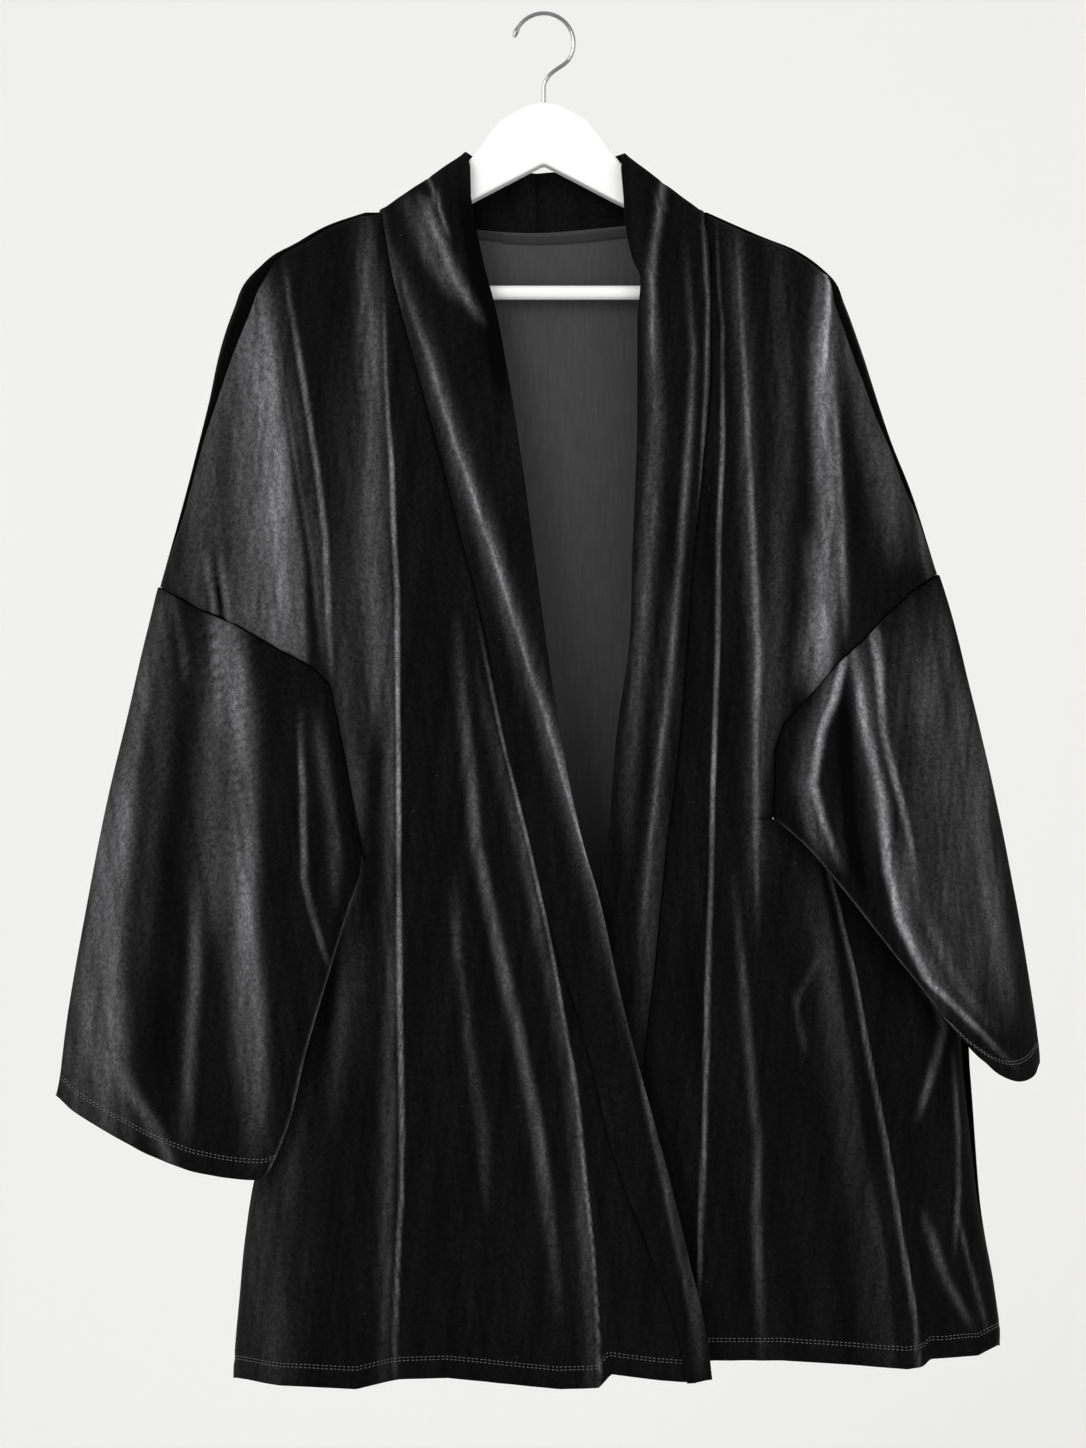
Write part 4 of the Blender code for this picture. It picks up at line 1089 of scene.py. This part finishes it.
cuff_right, nap_and_painted_light = sleeve_surface(SLEEVE_RIGHT, ARMHOLE_RIGHT, CUFF_DIP_RIGHT, -1.0, LINES_SLEEVE_RIGHT, 21)
sleeve_right = cloth_shell("velvet_right_sleeve", cuff_right, -1.0, CLOTH, nap_and_painted_light, looped=True)
place_sheet(sleeve_right, "sleeve_right")
cuff_left, nap_and_painted_light = sleeve_surface(SLEEVE_LEFT, ARMHOLE_LEFT, CUFF_DIP_LEFT, 1.0, LINES_SLEEVE_LEFT, 22)
sleeve_left = cloth_shell("velvet_left_sleeve", cuff_left, 1.0, CLOTH, nap_and_painted_light, looped=True)
place_sheet(sleeve_left, "sleeve_left")

# %% [markdown]
# Each band is doubled velvet, sewn along the front's edge and carried up into the stand that goes
# round the neck. Its rows climb from the hem; then the stand's own rows turn behind the neck.

# %% Bands and stand
STAND_COLUMNS = ("seam x", "seam z", "seam y", "edge x", "edge z", "edge y")
STAND_RIGHT = (
    (-128.3, -168, -10.3, -59, -120, -12.2),
    (-129, -160, -8.5, -61, -113.5, -10.0),
    (-130, -157, -3.0, -62, -110.8, -3.5),
    (-129, -157, 3.0, -61, -110.8, 3.5),
    (-124, -160, 9.0, -56, -113.5, 10.0),
    (-96, -167, 12.0, -46, -119, 14.0),
    (-55, -174, 14.5, -30, -124, 16.0),
    (-6.05, -178, 16.0, -6.05, -127, 17.0),
)
STAND_LEFT = (
    (128.8, -169, -10.3, 62, -122, -12.2),
    (128, -162, -8.5, 63, -114.5, -10.0),
    (127, -159, -3.0, 64, -111.8, -3.5),
    (126, -159, 3.0, 63, -111.8, 3.5),
    (121, -161, 9.0, 56, -113.5, 10.0),
    (92, -167, 12.0, 44, -119, 14.0),
    (48, -174, 14.5, 26, -124, 16.0),
    (-5.55, -178, 16.0, -5.55, -127, 17.0),
)
STAND_STEPS, BAND_LEVELS = 9, 230
COLLAR_SEAM_X = -5.8
# Within this distance of the middle the stand's tone is cleared to the plain dark ground; beyond it the
# stand keeps the band's tone, painted sheen included.
STAND_SHINE_X = 40.0
# Near the neck a row climbs outwards, and below it the band swells. Its free edge stands forward.
NECK_TILT, NECK_TILT_END, NECK_TILT_FADE = 34.0, -165.0, 50.0
SWELL_START, SWELL_FADE = -170.0, 60.0
EDGE_FORWARD = 2.0
EDGE_ROLL, EDGE_ROLL_WIDTH = 1.1, 2.6
BAND_UNEVEN = 0.5


def stand_rows(stand):
    """The stand's rows, with rows between them worked out along a smooth curve."""
    table = {name: np.array([row[i] for row in stand], float) for i, name in enumerate(STAND_COLUMNS)}
    place = np.arange(len(stand), dtype=float)
    table["place"] = place
    fine = np.linspace(0, place[-1], (len(stand) - 1) * STAND_STEPS + 1)
    return [smooth_values(table, "place", fine, name)[:, None] for name in STAND_COLUMNS]


def band_surface(outline, folds, lap, edge, stand, hem, bulge, lines, seed, columns):
    """A band's middle surface from the hem to the centre back, its tone of brushed pile with painted sheen
    and painted shade, and its facing.
    """
    shoulder, armhole, side, seam = outline
    seam_z = np.linspace(HEM_LEVEL, BAND_START - 1.5, BAND_LEVELS)[:, None]
    seam_x = smooth_values(seam, "z", seam_z, "x")
    side_edge = side_x(shoulder, armhole, side, seam_z, FRONT_TRIM)
    seam_y = panel_y(seam_x, seam_z, side_edge, armhole, -1.0, folds)
    seam_y = seam_y - smooth_values(LAP_DEPTH, "z", seam_z, lap)
    share = np.linspace(0, 1, columns)[None, :]
    tilt = NECK_TILT * np.exp((seam_z - NECK_TILT_END) / NECK_TILT_FADE)
    edge_x = smooth_values(edge, "z", seam_z + tilt, "x")
    towards = np.sign(edge_x - seam_x)
    start_x = seam_x + towards * BAND_GAP
    x = start_x + (edge_x - start_x) * share
    swell = np.clip((SWELL_START - seam_z) / SWELL_FADE, 0, 1)
    y = seam_y - bulge * swell * np.sin(math.pi * share) - EDGE_FORWARD * share
    moved_z = hem_moved(seam_z + tilt * share, x, hem)
    upper = stand_rows(stand)
    stand_parts = [inner + (outer - inner) * share for inner, outer in zip(upper[:3], upper[3:])]
    all_x, all_z, all_y = (np.concatenate(pair) for pair in zip((x, moved_z, y), stand_parts))
    grid = at_depth(all_x, all_z, all_y)
    width = np.linalg.norm(grid[:, -1:] - grid[:, :1], axis=2)
    tone, rise = soft_lines(lines, all_x, all_z)
    relief = rise + BAND_UNEVEN * unevenness(all_x, all_z, 22.0, 210.0, seed)
    relief = relief - SEAM_ROLL * bell(share * width, SEAM_ROLL_WIDTH)
    relief = relief - EDGE_ROLL * bell((1 - share) * width, EDGE_ROLL_WIDTH)
    on_stand = np.arange(len(grid))[:, None] >= BAND_LEVELS
    relief = np.where(on_stand, relief * 0.5, relief)
    above_hem = all_z - moved_z[:1].mean()
    relief = relief - np.where(on_stand, 0.0, STITCH_DENT * bell(above_hem - HEM_TURN, STITCH_DENT_WIDTH))
    facing = -float(towards[0, 0])
    # The band's tone carries painted sheen and painted shade; on the middle of the stand it is cleared.
    tone = brushed(np.where(on_stand & (all_x * facing < STAND_SHINE_X), 0.0, tone), all_x, all_z, seed)
    grid = with_relief(grid, facing, relief)
    grid[-1, :, 0] = COLLAR_SEAM_X
    return grid, tone, facing


# The tones here are brushed pile with painted sheen on raised ridges, and painted shade where a tone is
# below zero.
LINES_BAND_RIGHT = line_rows("""
    2 3.4 0.33 2 -125 -175 -102 -247 -92 -273 -81 -314 -67 -356 -53 -395 -42 -428 -31 -462 -17 -508 0 -559
        12 -600 24 -641 34 -674 48 -719 77 -835;
    8 8 0.1 0 -125 -175 -92 -273 -67 -356 -42 -428 -17 -508 12 -600 34 -674 77 -835;
    4 5 0.3 2.2 -101 -139 -83 -183 -71 -211 -48 -251;
    7 7 0.1 0 -111 -139 -91 -191 -65 -235;
    1.6 1.6 0.2 1.3 -96 -119 -86 -147 -74 -182;
    4 3 0.12 0 -133 -131 -115 -243 -99 -315 -83 -379 -53 -499;
    7 8 -0.015 -0.9 -69 -123 -53 -203 -41 -251 -32 -323;
    2.4 3 0.12 1 37 -675 77 -847 97 -939 121 -1059;
    4 4 0.05 0 74 -819 93 -891 117 -987 128 -1107
""")
LINES_BAND_LEFT = line_rows("""
    2.4 3 0.26 1.8 98 -107 93 -151 88 -184 86 -207 87 -227 87 -291;
    6 6 0.09 0.6 85 -179 89 -323 85 -403 77 -499 63 -675;
    3 2.4 0.16 1.2 112 -163 120 -275 117 -331 109 -435 101 -531 89 -627 74 -771;
    1.5 1.5 0.16 0.8 126 -143 131 -227 130 -291 123 -419;
    7 7 0.04 0.8 104 -435 93 -595 85 -707 79 -851
""")

band_rows_right, nap_and_painted_light, facing = band_surface(RIGHT, FOLDS_FRONT_RIGHT, "right", BAND_EDGE_RIGHT, STAND_RIGHT,
                                            HEM_FRONT_RIGHT, 5.0, LINES_BAND_RIGHT, 31, 44)
band_right = cloth_shell("velvet_right_band", band_rows_right, facing, BAND_CLOTH, nap_and_painted_light, inner=VELVET)
place_sheet(band_right, "band_right")
band_rows_left, nap_and_painted_light, facing = band_surface(LEFT, FOLDS_FRONT_LEFT, "left", BAND_EDGE_LEFT, STAND_LEFT,
                                           HEM_FRONT_LEFT, 3.0, LINES_BAND_LEFT, 32, 40)
band_left = cloth_shell("velvet_left_band", band_rows_left, facing, BAND_CLOTH, nap_and_painted_light, inner=VELVET)
place_sheet(band_left, "band_left")

# %% [markdown]
# The narrow binding covers the back's neck seam inside. It is a soft roll: a tube with an oval
# section laid along the seam, a little below the back's top edge.

# %% Neck binding
TAPE_HALF, TAPE_CENTRE = 70.0, 6.0
BELOW_TOP, IN_FRONT = 4.0, 2.6


def roll_rings(path, half_thick, half_tall, around):
    """Rings of an oval tube along a path that runs across the coat."""
    angle = np.linspace(0, 2 * math.pi, around, endpoint=False)
    offset = np.stack([0 * angle, np.cos(angle) * half_thick, np.sin(angle) * half_tall], axis=-1)
    return path[:, None] + offset[None]


def tube_mesh(name, rings, material):
    """A closed tube in metres through rings given in millimetres."""
    count, around = rings.shape[:2]
    index = np.arange(count * around).reshape(count, around)
    ahead = np.roll(index, -1, axis=1)
    quads = np.stack([index[:-1], index[1:], ahead[1:], ahead[:-1]], axis=-1).reshape(-1, 4)
    faces = quads.tolist() + [index[0].tolist(), index[-1][::-1].tolist()]
    mesh = bpy.data.meshes.new(name)
    mesh.from_pydata((rings.reshape(-1, 3) * MM).tolist(), [], faces)
    mesh.materials.append(material)
    mesh.shade_smooth()
    return new_piece(name, mesh)


near = np.abs(back_grid[0, :, 0] - TAPE_CENTRE) < TAPE_HALF
seam_path = back_grid[:, near]
down_from_top = np.linalg.norm(np.diff(seam_path, axis=0), axis=2).cumsum(axis=0)
level = (down_from_top > BELOW_TOP).argmax(axis=0)
path = seam_path[level, np.arange(seam_path.shape[1])] - np.array([0.0, IN_FRONT, 0.0])
neck_roll = tube_mesh("neck_binding", roll_rings(path, 1.3, 3.6, 20), BINDING)
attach(neck_roll, "root")
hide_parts("neck_tape")
print("neck binding:", len(path), "rings")

# %% [markdown]
# The hems and cuffs are held by two rows of small stitches that show on the velvet. A stitch is a
# short, low ridge of thread set along the row.

# %% Hem stitches
STITCH_LENGTH, STITCH_PITCH, STITCH_HALF = 2.5, 3.4, 0.26
STITCH_SWAY, STITCH_RISE, STITCH_SINK = 0.3, 1.6, 0.05
ROW_SPACING = 2.4


def row_at(grid, values, distance):
    """Values of a grid at a distance in millimetres from its last row, one for each column."""
    steps = np.linalg.norm(np.diff(grid[::-1], axis=0), axis=2)
    along = np.concatenate([np.zeros((1, grid.shape[1])), steps.cumsum(axis=0)])
    above = np.clip((along < distance).sum(axis=0), 1, len(grid) - 1)
    column = np.arange(grid.shape[1])
    before, after = along[above - 1, column], along[above, column]
    share = ((distance - before) / (after - before))[:, None]
    flipped = values[::-1]
    return flipped[above - 1, column] * (1 - share) + flipped[above, column] * share


def along_row(row, at, along):
    """Points or directions of a row, read at distances along it."""
    return np.stack([np.interp(at, along, row[:, i]) for i in range(3)], axis=-1)


def stitch_frames(points, out, seed):
    """Centre, direction and outward direction of each stitch along a row."""
    along = np.concatenate([[0], np.linalg.norm(np.diff(points, axis=0), axis=1).cumsum()])
    draw = np.random.default_rng(seed)
    at = np.arange(STITCH_LENGTH, along[-1] - STITCH_LENGTH, STITCH_PITCH)
    at = at + draw.uniform(-STITCH_SWAY, STITCH_SWAY, len(at))
    centre = along_row(points, at, along)
    ahead = along_row(points, at + 1.0, along) - along_row(points, at - 1.0, along)
    outward = along_row(out, at, along)
    return centre, ahead / np.linalg.norm(ahead, axis=1, keepdims=True), outward


def stitches(name, sheets):
    """One mesh of all the stitches of a hem or cuff: each a low four-sided ridge with pointed ends."""
    frames = []
    for grid, facing, looped, thickness in sheets:
        normal = surface_normals(grid, looped) * facing
        for number in (0, 1):
            distance = HEM_TURN - ROW_SPACING / 2 + number * ROW_SPACING
            out = row_at(grid, normal, distance)
            points = row_at(grid, grid, distance) + out * (thickness / 2 + STITCH_SINK)
            frames.append(stitch_frames(points, out, number + 1))
    centre, ahead, out = (np.concatenate(part) for part in zip(*frames))
    side = np.cross(ahead, out)
    side = side / np.linalg.norm(side, axis=1, keepdims=True)
    half = STITCH_LENGTH / 2
    corners = [centre - ahead * half, centre + side * STITCH_HALF, centre + out * STITCH_HALF * STITCH_RISE,
               centre - side * STITCH_HALF, centre - out * STITCH_HALF, centre + ahead * half]
    points = np.stack(corners, axis=1).reshape(-1, 3)
    pattern = np.array([(0, 2, 1), (0, 3, 2), (0, 4, 3), (0, 1, 4),
                        (5, 1, 2), (5, 2, 3), (5, 3, 4), (5, 4, 1)])
    faces = (np.arange(len(centre))[:, None, None] * 6 + pattern[None]).reshape(-1, 3)
    mesh = bpy.data.meshes.new(name)
    mesh.from_pydata((points * MM).tolist(), [], faces.tolist())
    mesh.materials.append(THREAD)
    piece = new_piece(name, mesh)
    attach(piece, "root")
    print(name, len(centre), "stitches")


stitches("hem_stitches", [(grid_right, -1.0, False, CLOTH), (grid_left, 1.0, False, CLOTH),
                          (back_grid, 1.0, False, CLOTH)])
stitches("cuff_stitches", [(cuff_right, -1.0, True, CLOTH), (cuff_left, 1.0, True, CLOTH)])

# %% [markdown]
# The hanger's solids already have their true form, so they keep it and get their real finishes.

# %% Hanger finishes
for node, finish in (("hanger_body", LACQUER), ("hanger_bar", LACQUER), ("hanger_hook", CHROME)):
    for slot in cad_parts[node].material_slots:
        slot.material = finish
    print(node, "is", finish.name)

# %% [markdown]
# Studio: one large soft light from the front left and above, a weaker one from the right, and a
# pale even surround, over a pale floor and wall.

# %% Lights and stage
PALE = linear("#f1f1f0")
SURROUND = 0.86
FLOOR_Z, WALL_Y, COVE_RADIUS = -1.75, 3.4, 1.8
STAGE_HALF, STAGE_FRONT, STAGE_TOP = 8.0, -5.0, 5.0
STAGE_GLOW = 0.1


def soft_light(name, place, size, power, aim):
    """An area light at a place in metres, turned to face a point."""
    data = bpy.data.lights.new(name, "AREA")
    data.energy = power
    data.size = size
    light = bpy.data.objects.new(name, data)
    light.location = place
    light.rotation_euler = (Vector(aim) - Vector(place)).to_track_quat("-Z", "Y").to_euler()
    bpy.context.scene.collection.objects.link(light)


soft_light("key light", (-1.6, -2.2, 0.9), 1.4, 34.0, (0.0, 0.0, -0.5))
soft_light("fill light", (2.0, -1.9, 0.1), 1.6, 14.0, (0.0, 0.0, -0.6))
world = bpy.data.worlds.new("pale surround")
world.use_nodes = True
world.node_tree.nodes["Background"].inputs["Color"].default_value = PALE
world.node_tree.nodes["Background"].inputs["Strength"].default_value = SURROUND
bpy.context.scene.world = world
bpy.context.scene.view_settings.view_transform = "Standard"

# The stage is one sheet: the floor, a quarter circle up from it, then the wall.
turn = np.radians(np.linspace(-90, 0, 33))
profile_y = np.concatenate([[STAGE_FRONT], WALL_Y - COVE_RADIUS + COVE_RADIUS * np.cos(turn), [WALL_Y]])
profile_z = np.concatenate([[FLOOR_Z], FLOOR_Z + COVE_RADIUS + COVE_RADIUS * np.sin(turn), [STAGE_TOP]])
corners = np.array([[(side * STAGE_HALF, y, z) for side in (-1, 1)] for y, z in zip(profile_y, profile_z)])
steps = 2 * np.arange(len(profile_y) - 1)[:, None]
stage_mesh = bpy.data.meshes.new("studio_stage")
stage_mesh.from_pydata(corners.reshape(-1, 3).tolist(), [], (steps + [0, 1, 3, 2]).tolist())
stage_mesh.polygons.foreach_set("use_smooth", [True] * len(stage_mesh.polygons))
paper, tree, out = new_material("pale studio paper")
surfaced(tree, out, {"Base Color": PALE, "Roughness": 0.9, "Emission Color": PALE,
                     "Emission Strength": STAGE_GLOW}, {})
stage_mesh.materials.append(paper)
new_piece("studio_stage", stage_mesh)
print("stage:", len(stage_mesh.polygons), "faces, the wall", WALL_Y, "m behind the hanger")
